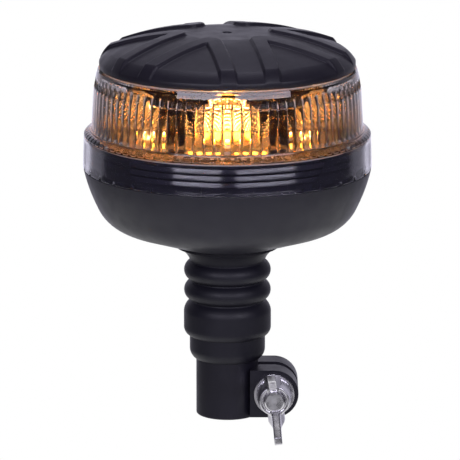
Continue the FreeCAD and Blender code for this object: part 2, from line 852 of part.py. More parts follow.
def ground_contact():
    """The flat ring under the contact plate that the rim of the stud meets."""
    return turned("ground_contact", [
        ("ring_inner_radius", "chamber_top - ring_thickness"),
        ("ring_outer_radius", "chamber_top - ring_thickness"),
        ("ring_outer_radius", "chamber_top"),
        ("ring_inner_radius", "chamber_top"),
    ])


def ground_rivet():
    """The rivet that holds the ring and takes the negative wire."""
    body = turned("ground_rivet", [
        ("0", "chamber_top"),
        ("rivet_radius", "chamber_top"),
        ("rivet_radius", "socket_top"),
        ("rivet_head_radius", "socket_top"),
        ("rivet_head_radius", "socket_top + rivet_head_height"),
        ("pin_radius", "socket_top + rivet_head_height"),
        ("pin_radius", "rivet_top"),
        ("0", "rivet_top"),
    ])
    return place(body, *WIRE_SPOTS[1])


# Rubber mount

def flexible_bellows():
    """The rubber mount: sleeve, barrel, convolutions, collar and the flange inside the bowl."""
    grip = "socket_radius + fit_gap"
    anchor = "anchor_radius + fit_gap"
    cavity = "groove_radius - bellows_wall"
    neck = "neck_hole_radius - fit_gap"
    collar_top = "floor_bottom - seat_gap"
    flange_bottom = "floor_top + seat_gap"
    flange_top = "floor_top + top_flange_height"
    outside = [
        (grip, "sleeve_bottom"),
        (f"{grip} + sleeve_foot", "sleeve_bottom", "+sleeve_round_radius"),
        ("sleeve_radius", "sleeve_bottom + sleeve_round_height"),
        ("sleeve_radius", "sleeve_top", "+barrel_round_radius"),
        ("barrel_radius", "barrel_bottom"),
        ("barrel_radius", "barrel_top", "+barrel_shoulder_radius"),
        ("groove_radius", "groove_low - groove_width / 2"),
    ]
    for index in range(CONVOLUTIONS):
        groove = f"groove_low + {index} * convolution_pitch"
        outside.append(("groove_radius", f"{groove} + groove_width / 2", "+convolution_radius"))
        outside.append(("groove_radius", f"{groove} + convolution_pitch - groove_width / 2"))
    outside += [
        ("groove_radius", "groove_high + groove_width / 2",
         "-collar_flare_radius"),
        ("collar_radius", "collar_bottom"),
        ("collar_radius", collar_top),
        (neck, collar_top),
        (neck, flange_bottom),
        ("top_flange_radius", flange_bottom),
        ("top_flange_radius", flange_top),
    ]
    inside = [
        ("neck_bore_radius", flange_top),
        ("neck_bore_radius", "neck_bore_bottom"),
        (cavity, "groove_high"),
        (cavity, "socket_top + fit_gap + bellows_roof"),
        (cavity, "socket_top + fit_gap"),
        (anchor, "socket_top + fit_gap"),
        (anchor, "socket_top - anchor_height - fit_gap"),
        (grip, "socket_top - anchor_height - fit_gap"),
    ]
    return turned("flexible_bellows", outside + inside)


def bowed_wire(spot, bottom, top):
    """A wire that leaves its pin upright, bows sideways in four equal arcs and ends straight."""
    across, deep = (number(formula) for formula in spot)
    radius = number("wire_radius")
    bow = number("wire_bow")
    start = number(bottom)
    bow_end = number("wire_straight_start")
    quarter = (bow_end - start) / 4
    turn = 2 * math.atan2(bow / 2, quarter)
    bend = quarter / math.sin(turn)

    def point(side, height):
        return FreeCAD.Vector(across + side, deep, height)

    lean = bend * (1 - math.cos(turn / 2))
    reach = bend * math.sin(turn / 2)
    edges = [
        Part.Arc(point(0, start), point(lean, start + reach), point(bow / 2, start + quarter)),
        Part.Arc(point(bow / 2, start + quarter), point(bow, start + 2 * quarter),
                 point(bow / 2, start + 3 * quarter)),
        Part.Arc(point(bow / 2, start + 3 * quarter), point(lean, bow_end - reach), point(0, bow_end)),
        Part.LineSegment(point(0, bow_end), point(0, number(top))),
    ]
    path = Part.Wire([edge.toShape() for edge in edges])
    section = Part.Wire(Part.makeCircle(radius, point(0, start)))
    return path.makePipeShell([section], True, False)


def supply_wires():
    """The two wires from the contacts to the driver."""
    top = "connector_bottom - seat_gap"
    bottoms = ["terminal_top + seat_gap", "rivet_top + seat_gap"]
    item = doc.addObject("Part::Feature", "supply_wires")
    item.Shape = Part.Compound([bowed_wire(spot, bottom, top)
                                for spot, bottom in zip(WIRE_SPOTS, bottoms)])
    return item


# Bowl and what it holds

def bowl_outside():
    """The half section of the bowl as if it were solid."""
    points = [
        ("0", "floor_bottom"),
        ("floor_radius", "floor_bottom"),
        ("knee_radius", "knee_height", "+knee_round"),
        ("turn_radius", "turn_height", "+side_round"),
        ("rim_radius", "seam_height"),
        ("thread_collar_radius", "seam_height"),
    ]
    for index in range(THREAD_RIDGES):
        middle = f"thread_first + {index} * thread_pitch"
        crest = "thread_collar_radius + thread_depth"
        points += [
            ("thread_collar_radius", f"{middle} - thread_width / 2"),
            (crest, f"{middle} - thread_width / 2 + thread_lip", "+thread_round"),
            (f"{crest} - thread_slope", f"{middle} + thread_width / 2 - thread_lip"),
            ("thread_collar_radius", f"{middle} + thread_width / 2"),
        ]
    return points + [("thread_collar_radius", "thread_collar_top"), ("0", "thread_collar_top")]


def bowl_inside():
    """The half section of the space in the bowl, with the heat sink's ledge."""
    collar_bore = "thread_collar_radius - thread_collar_wall"
    ledge_bore = f"{collar_bore} - ledge_width"
    ledge_foot = "ledge_height - ledge_thickness"
    return [
        ("0", "floor_bottom"),
        ("neck_hole_radius", "floor_bottom"),
        ("neck_hole_radius", "floor_top"),
        ("floor_radius", "floor_top"),
        ("knee_radius - bowl_wall / 2", "knee_height + bowl_wall", "+(knee_round - bowl_wall)"),
        ("turn_radius - bowl_wall", "turn_height + bowl_wall / 2", "+(side_round - bowl_wall)"),
        (f"{collar_bore}", "seam_height"),
        (f"{collar_bore}", f"{ledge_foot} - ledge_width"),
        (ledge_bore, ledge_foot),
        (ledge_bore, "ledge_height"),
        (collar_bore, "ledge_height"),
        (collar_bore, "thread_collar_top"),
        ("0", "thread_collar_top"),
    ]


def base_housing():
    """The bowl with its threaded collar, and posts inside for the driver, heat sink and retainer."""
    posts = rods("driver_post", "post_radius", "driver_bottom - floor_bottom",
                 DRIVER_POST_SPOTS, "floor_bottom")
    posts += rods("heat_post", "post_radius", "ledge_height - floor_bottom",
                  HEAT_POST_SPOTS, "floor_bottom")
    posts += rods("retainer_post", "retainer_post_radius", "retainer_bottom - floor_bottom",
                  RETAINER_SPOTS, "floor_bottom")
    space = cut("bowl_space", turned("bowl_inside", bowl_inside()), group("bowl_posts", posts))
    shell = cut("bowl_shell", turned("bowl_solid", bowl_outside()), space)
    hole = "screw_radius + screw_gap"
    deep_hole = "screw_depth - board_thickness + screw_gap"
    holes = rods("driver_hole", hole, deep_hole, DRIVER_POST_SPOTS, f"driver_bottom - ({deep_hole})")
    heat_hole = "screw_depth - heat_disc_thickness + screw_gap"
    holes += rods("heat_hole", hole, heat_hole, HEAT_POST_SPOTS, f"ledge_height - ({heat_hole})")
    short_hole = "retainer_bottom - floor_top + floor_thickness / 2"
    holes += rods("retainer_hole", hole, short_hole, RETAINER_SPOTS,
                  f"retainer_bottom - ({short_hole})")
    return cut("base_housing", shell, group("bowl_holes", holes))


def bellows_retainer():
    """The ring that presses the bellows' flange onto the bowl's floor."""
    ring = turned("retainer_ring", [
        ("retainer_inner_radius", "retainer_bottom"),
        ("retainer_radius", "retainer_bottom"),
        ("retainer_radius", "retainer_top"),
        ("retainer_inner_radius", "retainer_top"),
    ])
    holes = rods("retainer_pass", "screw_radius + fit_gap", "2 * retainer_thickness", RETAINER_SPOTS,
                 "retainer_bottom - retainer_thickness / 2")
    return cut("bellows_retainer", ring, group("retainer_passes", holes))


def retainer_screws():
    """The screws of the retainer."""
    length = "(retainer_top - floor_top + floor_thickness / 2 - seat_gap)"
    return screws("retainer_screws", length, RETAINER_SPOTS, "retainer_top")


def cable_grommet():
    """The rubber plug that seals the two wires at the top of the bellows."""
    plug = turned("grommet_plug", [
        ("0", "retainer_top - retainer_thickness - grommet_depth"),
        ("neck_bore_radius - ring_gap", "retainer_top - retainer_thickness - grommet_depth"),
        ("neck_bore_radius - ring_gap", "retainer_top"),
        ("grommet_flange_radius", "retainer_top"),
        ("grommet_flange_radius", "retainer_top + grommet_flange_height"),
        ("0", "retainer_top + grommet_flange_height"),
    ])
    holes = rods("grommet_hole", "wire_radius + grommet_wire_gap",
                 "retainer_top + 2 * grommet_flange_height - wire_straight_start", WIRE_SPOTS,
                 "wire_straight_start")
    return cut("cable_grommet", plug, group("grommet_holes", holes))


def wire_connector():
    """The connector under the driver that takes the two wires."""
    middle = ("0", "rivet_ring / 2")
    return block("wire_connector", "connector_width", "connector_length", "connector_height",
                 middle, 0, "connector_bottom")


def driver_board():
    """The round board of the LED driver."""
    body = new_body("driver_board")
    disc = draw_circles(new_sketch(body, "driver_disc", "XY_Plane", "driver_bottom"),
                        [("0", "0", "driver_radius")])
    pad(body, disc, "board_thickness")
    holes = draw_circles(new_sketch(body, "driver_board_holes", "XY_Plane", "driver_top"),
                         [(across, deep, "screw_radius + fit_gap")
                          for across, deep in DRIVER_POST_SPOTS])
    pocket(body, holes, "board_thickness")
    return body


def board_screws():
    """The screws of the driver board."""
    return screws("board_screws", "screw_depth", DRIVER_POST_SPOTS, "driver_top")


def driver_inductor():
    """The ring-wound inductor."""
    item = doc.addObject("Part::Torus", "driver_inductor")
    item.setExpression("Radius1", bound("inductor_ring"))
    item.setExpression("Radius2", bound("inductor_radius"))
    return place(item, "-inductor_ring / 2", "-inductor_ring / 2",
                 "driver_top + inductor_radius + seat_gap")


def driver_capacitors():
    """Three electrolytic capacitors."""
    spots = [on_ring("capacitor_ring", angle) for angle in (200, 225, 250)]
    return group("driver_capacitors", rods("capacitor", "capacitor_radius", "capacitor_height", spots,
                                           "driver_top"))


def driver_transistors():
    """Three flat power transistors."""
    items = [block(f"transistor_{index}", "transistor_width", "transistor_length",
                   "transistor_height", on_ring("transistor_ring", angle), angle, "driver_top")
             for index, angle in enumerate((-40, 0, 40))]
    return group("driver_transistors", items)


def controller_chip():
    """The chip that times the flashes."""
    return block("controller_chip", "chip_width", "chip_width", "chip_height",
                 ("-transistor_ring", "transistor_width"), 0, "driver_top")


# LED engine

def heat_sink():
    """The cast disc that carries the LED board, with a pedestal above and ring fins below."""
    rim = "thread_collar_radius - thread_collar_wall - heat_disc_gap"
    fin_foot = "ledge_height - fin_depth"
    disc_top = "ledge_height + heat_disc_thickness"
    points = [("0", "ledge_height")]
    for radius in ("fin_inner_radius", "fin_outer_radius"):
        points += [
            (radius, "ledge_height"),
            (radius, fin_foot),
            (f"{radius} + fin_width", fin_foot),
            (f"{radius} + fin_width", "ledge_height"),
        ]
    points += [
        (rim, "ledge_height"),
        (rim, disc_top),
        ("pedestal_radius", disc_top),
        ("pedestal_radius", "pedestal_top"),
        ("0", "pedestal_top"),
    ]
    body = turned("heat_sink", points)
    circles = [(across, deep, "screw_radius + fit_gap")
               for across, deep in HEAT_POST_SPOTS + REFLECTOR_SPOTS]
    circles += [(across, deep, "lead_radius + lead_gap") for across, deep in LEAD_SPOTS]
    holes = draw_circles(new_sketch(body, "heat_holes", "XY_Plane", "pedestal_top"), circles)
    pocket(body, holes, "pedestal_top - ledge_height + fin_depth")
    return body


def heat_sink_screws():
    """The screws of the heat sink."""
    return screws("heat_sink_screws", "screw_depth", HEAT_POST_SPOTS,
                  "(ledge_height + heat_disc_thickness)")


def led_board():
    """The round board under the LEDs."""
    body = new_body("led_board")
    disc = draw_circles(new_sketch(body, "led_disc", "XY_Plane", "pedestal_top"),
                        [("0", "0", "led_board_radius")])
    pad(body, disc, "board_thickness")
    holes = draw_circles(new_sketch(body, "led_board_holes", "XY_Plane", "led_board_top"),
                         [(across, deep, "screw_radius + fit_gap")
                          for across, deep in REFLECTOR_SPOTS])
    pocket(body, holes, "board_thickness")
    return body


def led_packages():
    """The six LED packages in a ring."""
    items = [block(f"led_package_{index}", "led_width", "led_width", "led_height",
                   on_ring("led_ring", angle), angle, "led_board_top")
             for index, angle in enumerate(LED_ANGLES)]
    return group("led_packages", items)


def led_domes():
    """The silicone dome on each LED."""
    items = []
    for index, angle in enumerate(LED_ANGLES):
        dome = turned(f"led_dome_{index}", [
            ("0", "0"),
            ("dome_radius", "0", "+dome_radius"),
            ("0", "dome_radius"),
        ])
        items.append(place(dome, *on_ring("led_ring", angle), "led_top"))
    return group("led_domes", items)


def led_leads():
    """The two leads from the driver board to the LED board."""
    return group("led_leads", rods("led_lead", "lead_radius", "pedestal_top - driver_top",
                                   LEAD_SPOTS, "driver_top"))


def reflector_bowl(name, angle):
    """The space of one parabolic bowl, whose focus is just above its LED and which opens outward.

    The parabola starts at the edge of a small flat, and each stretch of it is an arc with the
    parabola's own curvature at its middle.
    """
    def depth(radius):
        return f"({radius})^2 / (4 * bowl_focus)"

    def along(share):
        return f"(bowl_flat + (bowl_reach - bowl_flat) * {share} / {BOWL_STRETCHES})"

    points = [("0", depth("bowl_flat"))]
    for index in range(BOWL_STRETCHES):
        slope = f"({along(index + 0.5)} / (2 * bowl_focus))"
        points.append((along(index), depth(along(index)), f"+2 * bowl_focus * (1 + {slope}^2)^1.5"))
    points += [("bowl_reach", depth("bowl_reach")), ("0", depth("bowl_reach"))]
    body = turned(name, points)
    outward = FreeCAD.Rotation(FreeCAD.Vector(0, 1, 0), 90)
    body.Placement.Rotation = FreeCAD.Rotation(FreeCAD.Vector(0, 0, 1), angle).multiply(outward)
    return place(body, *on_ring("(led_ring - bowl_focus)", angle), "led_top + bowl_lift")


def reflector_carrier():
    """The metallised moulding with six parabolic bowls that turn the LEDs' light outward."""
    body = turned("reflector_block", [
        ("reflector_hollow_radius", "led_board_top"),
        ("reflector_radius", "led_board_top"),
        ("reflector_radius", "reflector_top"),
        ("0", "reflector_top"),
        ("0", "reflector_top - reflector_plate"),
        ("reflector_hollow_radius", "reflector_top - reflector_plate"),
    ])
    bowls = [reflector_bowl(f"reflector_bowl_{index}", angle) for index, angle in enumerate(LED_ANGLES)]
    carved = cut("reflector_carved", body, group("reflector_bowls", bowls))
    depth = "reflector_screw_length + ledge_height - pedestal_top - board_thickness + screw_gap"
    holes = rods("reflector_hole", "screw_radius + screw_gap", depth, REFLECTOR_SPOTS, "led_board_top")
    holes += rods("cap_pass", "screw_radius + fit_gap", "2 * reflector_plate", CAP_BOSS_SPOTS,
                  "reflector_top - 3 * reflector_plate / 2")
    return cut("reflector_carrier", carved, group("reflector_holes", holes))


def reflector_screws():
    """The screws that hold the reflector from below."""
    return screws("reflector_screws", "reflector_screw_length", REFLECTOR_SPOTS, "ledge_height",
                  points_up=True)


# Lens and cap

def flat_ring(name, inner, outer, bottom, thickness):
    """A flat seal."""
    return turned(name, [
        (inner, bottom),
        (outer, bottom),
        (outer, f"{bottom} + {thickness}"),
        (inner, f"{bottom} + {thickness}"),
    ])


def lens_seal():
    """The seal between the bowl's collar and the lens."""
    return flat_ring("lens_seal", "thread_collar_radius - thread_collar_wall", "thread_collar_radius",
                     "thread_collar_top", "seal_thickness")


def outer_lens():
    """The clear lens with its skirt, shoulder and top flange."""
    flange_bottom = "lens_top - lens_flange_height"
    return turned("outer_lens", [
        ("skirt_radius - skirt_wall", "lens_bottom"),
        ("skirt_radius", "lens_bottom"),
        ("skirt_top_radius", "skirt_top", "+skirt_round"),
        ("shoulder_radius", "shoulder_height"),
        ("lens_mid_radius", "lens_mid_height", "+lens_crown"),
        ("lens_top_radius", "lens_top"),
        ("lens_flange_radius", "lens_top"),
        ("lens_flange_radius", flange_bottom),
        ("lens_top_radius - lens_wall", flange_bottom, "-(lens_crown - lens_wall)"),
        ("lens_mid_radius - lens_wall", "lens_mid_height"),
        ("shoulder_radius - lens_wall", "lens_seat"),
        ("skirt_radius - skirt_wall", "lens_seat"),
    ])


def cap_seal():
    """The seal between the lens and the cap."""
    return flat_ring("cap_seal", "lens_flange_radius", "lens_flange_radius + cap_seal_width",
                     "lens_top", "cap_seal_thickness")


def cap_outline(rise, foot):
    """The half section of the cap as if it were solid, or of its ribs when it has a rise."""
    return [
        ("0", "cap_bottom"),
        ("cap_rim_radius", "cap_bottom"),
        ("cap_rim_radius", f"cap_bottom + {foot}", "+cap_flank_round"),
        (f"crease_radius + {rise} / 2", f"crease_height + {rise}", "+dome_round"),
        ("hub_radius", f"hub_height + {rise}"),
        ("0", f"hub_height + {rise}"),
    ]


def rib_prism(index, angle):
    """An upright prism in the shape of one V, open towards the rim and cut off near the hub."""
    body = new_body(f"rib_prism_{index}")
    along = "cap_rim_radius * cos(rib_spread)"
    aside = "cap_rim_radius * sin(rib_spread)"
    half_end = "(rib_start - rib_apex) * tan(rib_spread)"
    outline = draw_outline(new_sketch(body, f"rib_plan_{index}", "XY_Plane", "cap_bottom"), [
        ("rib_start", f"-{half_end}"),
        (f"rib_apex + {along}", f"-{aside}"),
        (f"rib_panel_apex + {along}", f"-{aside}"),
        ("rib_panel_apex", "0"),
        (f"rib_panel_apex + {along}", aside),
        (f"rib_apex + {along}", aside),
        ("rib_start", half_end),
    ])
    pad(body, outline, "2 * (hub_height - lens_top)")
    body.Placement.Rotation = FreeCAD.Rotation(FreeCAD.Vector(0, 0, 1), angle)
    return body


def top_cap():
    """The cap: a domed shell with six raised V ribs, a vent hole and bosses for its screws."""
    solid = turned("cap_solid", cap_outline("0", "cap_band"))
    raised = turned("cap_raised", cap_outline("rib_rise", "rib_foot"))
    ribs = [common(f"cap_rib_{index}", raised, rib_prism(index, angle))
            for index, angle in enumerate(even_angles(RIB_COUNT, number("rib_first_angle")))]
    space = turned("cap_space", [
        ("0", "cap_bottom"),
        ("cap_rim_radius - cap_lip", "cap_bottom", "+(cap_flank_round - cap_wall)"),
        ("crease_radius - cap_wall / 2", "crease_height - cap_wall", "+dome_round"),
        ("hub_radius", "hub_height - cap_wall"),
        ("0", "hub_height - cap_wall"),
    ])
    shell = cut("cap_shell", fuse("cap_with_ribs", [solid] + ribs), space)
    bosses = rods("cap_boss", "cap_boss_radius", "hub_height - cap_wall / 2 - reflector_top",
                  CAP_BOSS_SPOTS, "reflector_top")
    holes = rods("cap_hole", "screw_radius + screw_gap", "cap_screw_length - reflector_plate + screw_gap",
                 CAP_BOSS_SPOTS, "reflector_top")
    holes.append(rod("vent_hole", "vent_radius", "3 * cap_wall", up="hub_height - 2 * cap_wall"))
    return cut("top_cap", fuse("cap_with_bosses", [shell] + bosses), group("cap_holes", holes))


def vent_membrane():
    """The breather membrane under the vent hole."""
    return rod("vent_membrane", "vent_membrane_radius", "vent_membrane_thickness",
               up="hub_height - cap_wall - vent_membrane_thickness")


def cap_screws():
    """The screws that hold the cap to the reflector from below."""
    return screws("cap_screws", "cap_screw_length", CAP_BOSS_SPOTS, "(reflector_top - reflector_plate)",
                  points_up=True)


PIECES = [
    socket_clamp, clamp_bolt, clamp_washer, wing_nut,
    contact_plate, contact_carrier, centre_contact, contact_spring, contact_terminal,
    ground_contact, ground_rivet, flexible_bellows, supply_wires,
    base_housing, bellows_retainer, retainer_screws, cable_grommet, wire_connector,
    driver_board, board_screws, driver_inductor, driver_capacitors, driver_transistors, controller_chip,
    heat_sink, heat_sink_screws, led_board, led_packages, led_domes, led_leads,
    reflector_carrier, reflector_screws, lens_seal, outer_lens, cap_seal, top_cap, vent_membrane,
    cap_screws,
]


def build():
    """Makes every piece, checks them all and only then writes the files."""
    nodes = []
    for piece in PIECES:
        node = piece()
        node.Label = piece.__name__
        nodes.append(node)
    doc.recompute()
    for item in doc.Objects:
        if "Invalid" in item.State or "Error" in item.State:
            raise RuntimeError(f"{item.Name} failed: {item.State}")
    for node in nodes:
        if node.Shape.isNull() or not node.Shape.isValid() or not node.Shape.Solids:
            raise RuntimeError(f"{node.Label} has no sound shape")
    os.makedirs("parts", exist_ok=True)
    for node in nodes:
        node.Shape.exportStep(f"parts/{node.Label}.step")
        print(node.Label, len(node.Shape.Solids), round(node.Shape.Volume, 1))


build()
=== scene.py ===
"""Looks of the LED beacon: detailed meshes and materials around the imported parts, which are the frame.

Outlines are half sections in millimetres, as (radius, height), and everything is built in metres.
"""
import json
import math

import bpy
import numpy as np
from mathutils import Matrix, Vector


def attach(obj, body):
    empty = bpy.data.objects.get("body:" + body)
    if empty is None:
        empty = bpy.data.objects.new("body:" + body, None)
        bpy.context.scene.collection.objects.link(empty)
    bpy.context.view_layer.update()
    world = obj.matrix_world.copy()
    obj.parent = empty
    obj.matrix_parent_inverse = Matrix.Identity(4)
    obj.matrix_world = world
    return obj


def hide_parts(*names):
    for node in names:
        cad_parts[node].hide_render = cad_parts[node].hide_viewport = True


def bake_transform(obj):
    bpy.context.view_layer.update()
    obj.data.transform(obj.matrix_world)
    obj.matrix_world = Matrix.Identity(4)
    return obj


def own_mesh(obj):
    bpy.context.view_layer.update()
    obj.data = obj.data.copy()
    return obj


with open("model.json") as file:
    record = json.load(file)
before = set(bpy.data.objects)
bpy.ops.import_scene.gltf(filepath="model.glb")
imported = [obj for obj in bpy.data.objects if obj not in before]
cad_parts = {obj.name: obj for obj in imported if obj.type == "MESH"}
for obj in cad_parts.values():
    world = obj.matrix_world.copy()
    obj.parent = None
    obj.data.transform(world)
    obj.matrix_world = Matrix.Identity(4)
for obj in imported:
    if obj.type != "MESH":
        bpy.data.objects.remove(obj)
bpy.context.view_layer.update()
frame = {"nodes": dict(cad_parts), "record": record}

MM = 0.001
FULL_TURN = 2 * math.pi

# Degrees between two faces above which their edge is sharp
SMOOTH_ANGLE = 35

# Cap
RIB_COUNT = 6
RIB_FIRST_ANGLE = math.radians(-109.4)
RIB_SPREAD = math.radians(30.5)
RIB_START = 21.0
RIB_APEX = 14.5
RIB_PANEL_APEX = 29.5
RIB_EDGE = 0.6
RIB_TIP_ROUND = 2.0
RIB_RISE = 1.5
RIB_FOOT = 3.5
CAP_BAND = 3.1
CAP_BOTTOM = 175.5
CAP_RIM_RADIUS = 62.8
CAP_EDGE = 0.4
CREASE = (57.8, 183.6)
HUB = (20.0, 192.4)
HUB_SPACING = 1.2
FLANK_CURVE = 16.0
FLANK_STEPS = 16
DOME_CURVE = 140.0
DOME_STEPS = 70
INSIDE_HUB = (20.0, 189.9)
INSIDE_CREASE = (56.55, 181.1)
INSIDE_FOOT = (59.2, CAP_BOTTOM)
INSIDE_FLANK_CURVE = 13.5
INSIDE_FLANK_STEPS = 8
INSIDE_DOME_STEPS = 24
CAP_SEGMENTS = 960
CAP_SMOOTH_ANGLE = 50
VENT_RADIUS = 2.0

# Tubes under the cap that take its screws
BOSS_COUNT = 3
BOSS_RING = 14.0
BOSS_BORE = 1.55
BOSS_RADIUS = 4.0
BOSS_ROUND = 0.3
BOSS_BOTTOM = 173.0
BOSS_TOP = 191.0
BOSS_SIDES = 32

# Lens, with flutes inside, beads on its shoulder and dents round the foot of its skirt
LENS_INNER_WALL = (60.0, 65.4)
SHOULDER_RADIUS = 67.0
SKIRT_RADIUS = 70.0
FLUTE_COUNT = 90
FLUTE_STEPS = 12
FLUTE_DEPTH = 0.8
FLUTE_ROUND = 0.96
FLUTE_BOTTOM = 144.9
FLUTE_TOP = 171.3
FLUTE_RUN_OUT = 0.9
FLUTE_TOP_RUN_OUT = 3 * FLUTE_RUN_OUT
BEAD_HEIGHT = 0.4
BEAD_SIDE = (0.6, 0.9)
BEAD_BOTTOM = 142.5
BEAD_TOP = 144.3
NUB_COUNT = 36
NUB_DEPTH = 0.5
NUB_HALF_WIDTH = math.radians(0.75)
NUB_FLAT = 0.7
NUB_BOTTOM = 126.3
NUB_TOP = 127.9
NUB_EDGE = 0.3

# Reflector, whose bowls are made of small pillow-shaped facets
LED_COUNT = 6
LED_FIRST_ANGLE = math.radians(-90)
REFLECTOR_RADIUS = 49.0
REFLECTOR_HOLLOW = 23.0
REFLECTOR_BOTTOM = 142.6
REFLECTOR_TOP = 173.0
REFLECTOR_PLATE = 2.6
REFLECTOR_SIDES = 240
REFLECTOR_SMOOTH_ANGLE = 45
FOOT_HOLE_RADIUS = 1.55
FOOT_HOLE_DEPTH = 6.45
FOOT_HOLE_RING = 36.0
TOP_HOLE_RADIUS = 1.6
TOP_HOLE_DEPTH = 5.0
HOLE_OVER = 1.0
HOLE_SIDES = 32
BOWL_FOCUS = 7.0
BOWL_AXIS_HEIGHT = 146.2
BOWL_BACK = 28.0
BOWL_FLAT = 1.0
BOWL_REACH = 25.5
FACET_ROWS = 10
FACET_COLUMNS = 36
FACET_STEPS = 6
FACET_BULGE = 0.1
FACET_SIDE_BULGE = (0.5, 0.33)
FACET_SIDE = (8.0, 15.0)
FACET_FOOT = 3.0

# Rubber bellows: where its two pieces meet, and the height ranges of its two bends, which this script
# does not make
SPLIT_HEIGHT = 68.5
LOWER_BEND = (50.0, 66.8)
UPPER_BEND = (70.2, 87.0)
BELLOWS_SEGMENTS = 160
BELLOWS_SMOOTH_ANGLE = 45

# Wires inside the bellows
WIRE_RADIUS = 1.2
WIRE_BOW = 2.4
WIRE_BOW_END = 88.95
WIRE_TOP = 103.9
WIRE_SPACING = 1.0
WIRE_STARTS = [((0.0, 0.0), 62.25), ((0.0, 10.3), 54.25)]

# Contact spring
SPRING_COIL_RADIUS = 3.2
SPRING_WIRE_RADIUS = 0.45
SPRING_WIRE_SIDES = 12
SPRING_BOTTOM = 47.55
SPRING_TOP = 56.0
SPRING_TURNS = 6
SPRING_TURN_STEPS = 32

# Wing nut
NUT_PLACE = (23.2, -16.6, 13.3)
NUT_TILT = math.radians(96)
NUT_SIDES = 64
WING_ROOT = (6.0, 5.75)
WING_TIP = (16.1, 27.2)
WING_THICKNESS = 3.9
WING_ROOT_THICKNESS = 8.4
WING_FLARE = 0.42
WING_TIP_HALF = 1.9
WING_ROOT_HALF = 5.3
WING_SECTIONS = 24
WING_VOXEL = 0.26
WING_SMOOTHING = 10
WING_SMOOTHING_SHARE = 0.5

# Range of a noise pattern in which nearly all of its values lie
MIDDLE_RANGE = (0.3, 0.7)

# Moulded surfaces: flow marks and sheen, in waves per metre and how far they stray, and the fine grain
FLOW_WAVES = 45
FLOW_CHANGE = 0.12
SHEEN_WAVES = 140
SHEEN_CHANGE = 0.05
MOULD_GRAIN_HEIGHT = 0.00003

# Polished collar: the height where it starts and its fade, in metres, and its share of the roughness
COLLAR_FOOT = 0.1254
POLISH_FADE = 0.0005
POLISH = 0.25

# Bare metal: waves per metre of the handling marks, and how far the roughness strays, as shares of it
HANDLING_WAVES = 220
METAL_SHEEN = (0.7, 1.3)

# Heights in metres over which the clear skirt turns into the smoky lens, and the colours of both
SKIRT_FADE = (0.1405, 0.1418)
SKIRT_COLOURS = ((0.94, 0.935, 0.95), (0.97, 0.965, 0.98))
LENS_COLOURS = ((0.72, 0.70, 0.74), (0.77, 0.75, 0.79))

# Painted shade: the colour the smoky lens takes in a mirrored view, so the reflector shows its LEDs and
# not the bright room
LENS_PAINTED_SHADE_MIRRORED = (0.05, 0.05, 0.05)

# Share of the lamps' light that passes the skirt and the lens
LAMP_LIGHT = (0.85, 0.2)

# Strength of the LEDs straight up, and their colours from the dome's edge to its white-hot middle
LED_STRENGTH = 300000.0
LED_AMBER = (1.0, 0.27, 0.016)
LED_HOT = (1.0, 0.66, 0.26)
LED_HOT_ZONE = (0.6, 0.9)
LED_GLOW_ZONE = (0.2, 0.7)

# Camera, in metres apart from its sensor
CAMERA_AIM = Vector((0.00128, 0.0, 0.0933))
CAMERA_DISTANCE = 2.0
CAMERA_ELEVATION = math.radians(13.2)
SENSOR_WIDTH = 36.0
METRES_PER_PIXEL = 0.000494
IMAGE_SIZE = 460

# Floor, in millimetres: pale to the light, and to the eye a dim grey with a glow up to white
FLOOR_HEIGHT = -250.0
FLOOR_RADIUS = 700.0
FLOOR_SIDES = 96
FLOOR_WAVES = 3
FLOOR_COLOURS = ((0.78, 0.78, 0.78), (0.82, 0.82, 0.82))
FLOOR_SEEN_COLOUR = (0.22, 0.22, 0.22)
FLOOR_SEEN_GLOW = 0.8

# Room: a dim level all round, and a backdrop that is brightest in the middle and fades upwards
DARK_ROOM = 0.05
BACKDROP_SIDE = 0.25
BACKDROP_EDGE = (0.42, 0.52)
BACKDROP_MIDDLE = (0.75, 1.0)
BACKDROP_TOP = (0.2, 0.6)
BACKDROP_FADE = (1.0, 0.3)
STUDIO_TINT = (0.96, 0.93, 1.12)
WHITE = (1.0, 1.0, 1.0)

# Soft boxes: azimuth and elevation in degrees, distance and size in metres, and power in watts
LAMP_AIM = Vector((0, 0, 0.12))
LAMPS = {
    "left_box": (-25, 20, 1.5, (1.0, 0.34), 7),
    "right_box": (32, 20, 1.5, (1.3, 0.34), 8),
    "top_box": (180, 78, 1.6, (1.2, 0.8), 6),
}


# Outlines and meshes

def arc(start, finish, radius, steps):
    """Points after start on an arc to finish that curves left, or right where the radius is negative."""
    across = finish[0] - start[0]
    up = finish[1] - start[1]
    chord = math.hypot(across, up)
    offset = math.copysign(math.sqrt(radius * radius - chord * chord / 4), radius)
    centre_r = (start[0] + finish[0]) / 2 - up / chord * offset
    centre_z = (start[1] + finish[1]) / 2 + across / chord * offset
    first = math.atan2(start[1] - centre_z, start[0] - centre_r)
    last = math.atan2(finish[1] - centre_z, finish[0] - centre_r)
    swing = (last - first + math.pi) % FULL_TURN - math.pi
    angles = [first + swing * step / steps for step in range(1, steps + 1)]
    size = abs(radius)
    return [(centre_r + size * math.cos(angle), centre_z + size * math.sin(angle)) for angle in angles]


def line(start, finish, spacing):
    """Points after start on a straight run to finish, no further apart than the spacing."""
    steps = max(1, math.ceil(math.dist(start, finish) / spacing))
    return [(start[0] + (finish[0] - start[0]) * step / steps,
             start[1] + (finish[1] - start[1]) * step / steps) for step in range(1, steps + 1)]


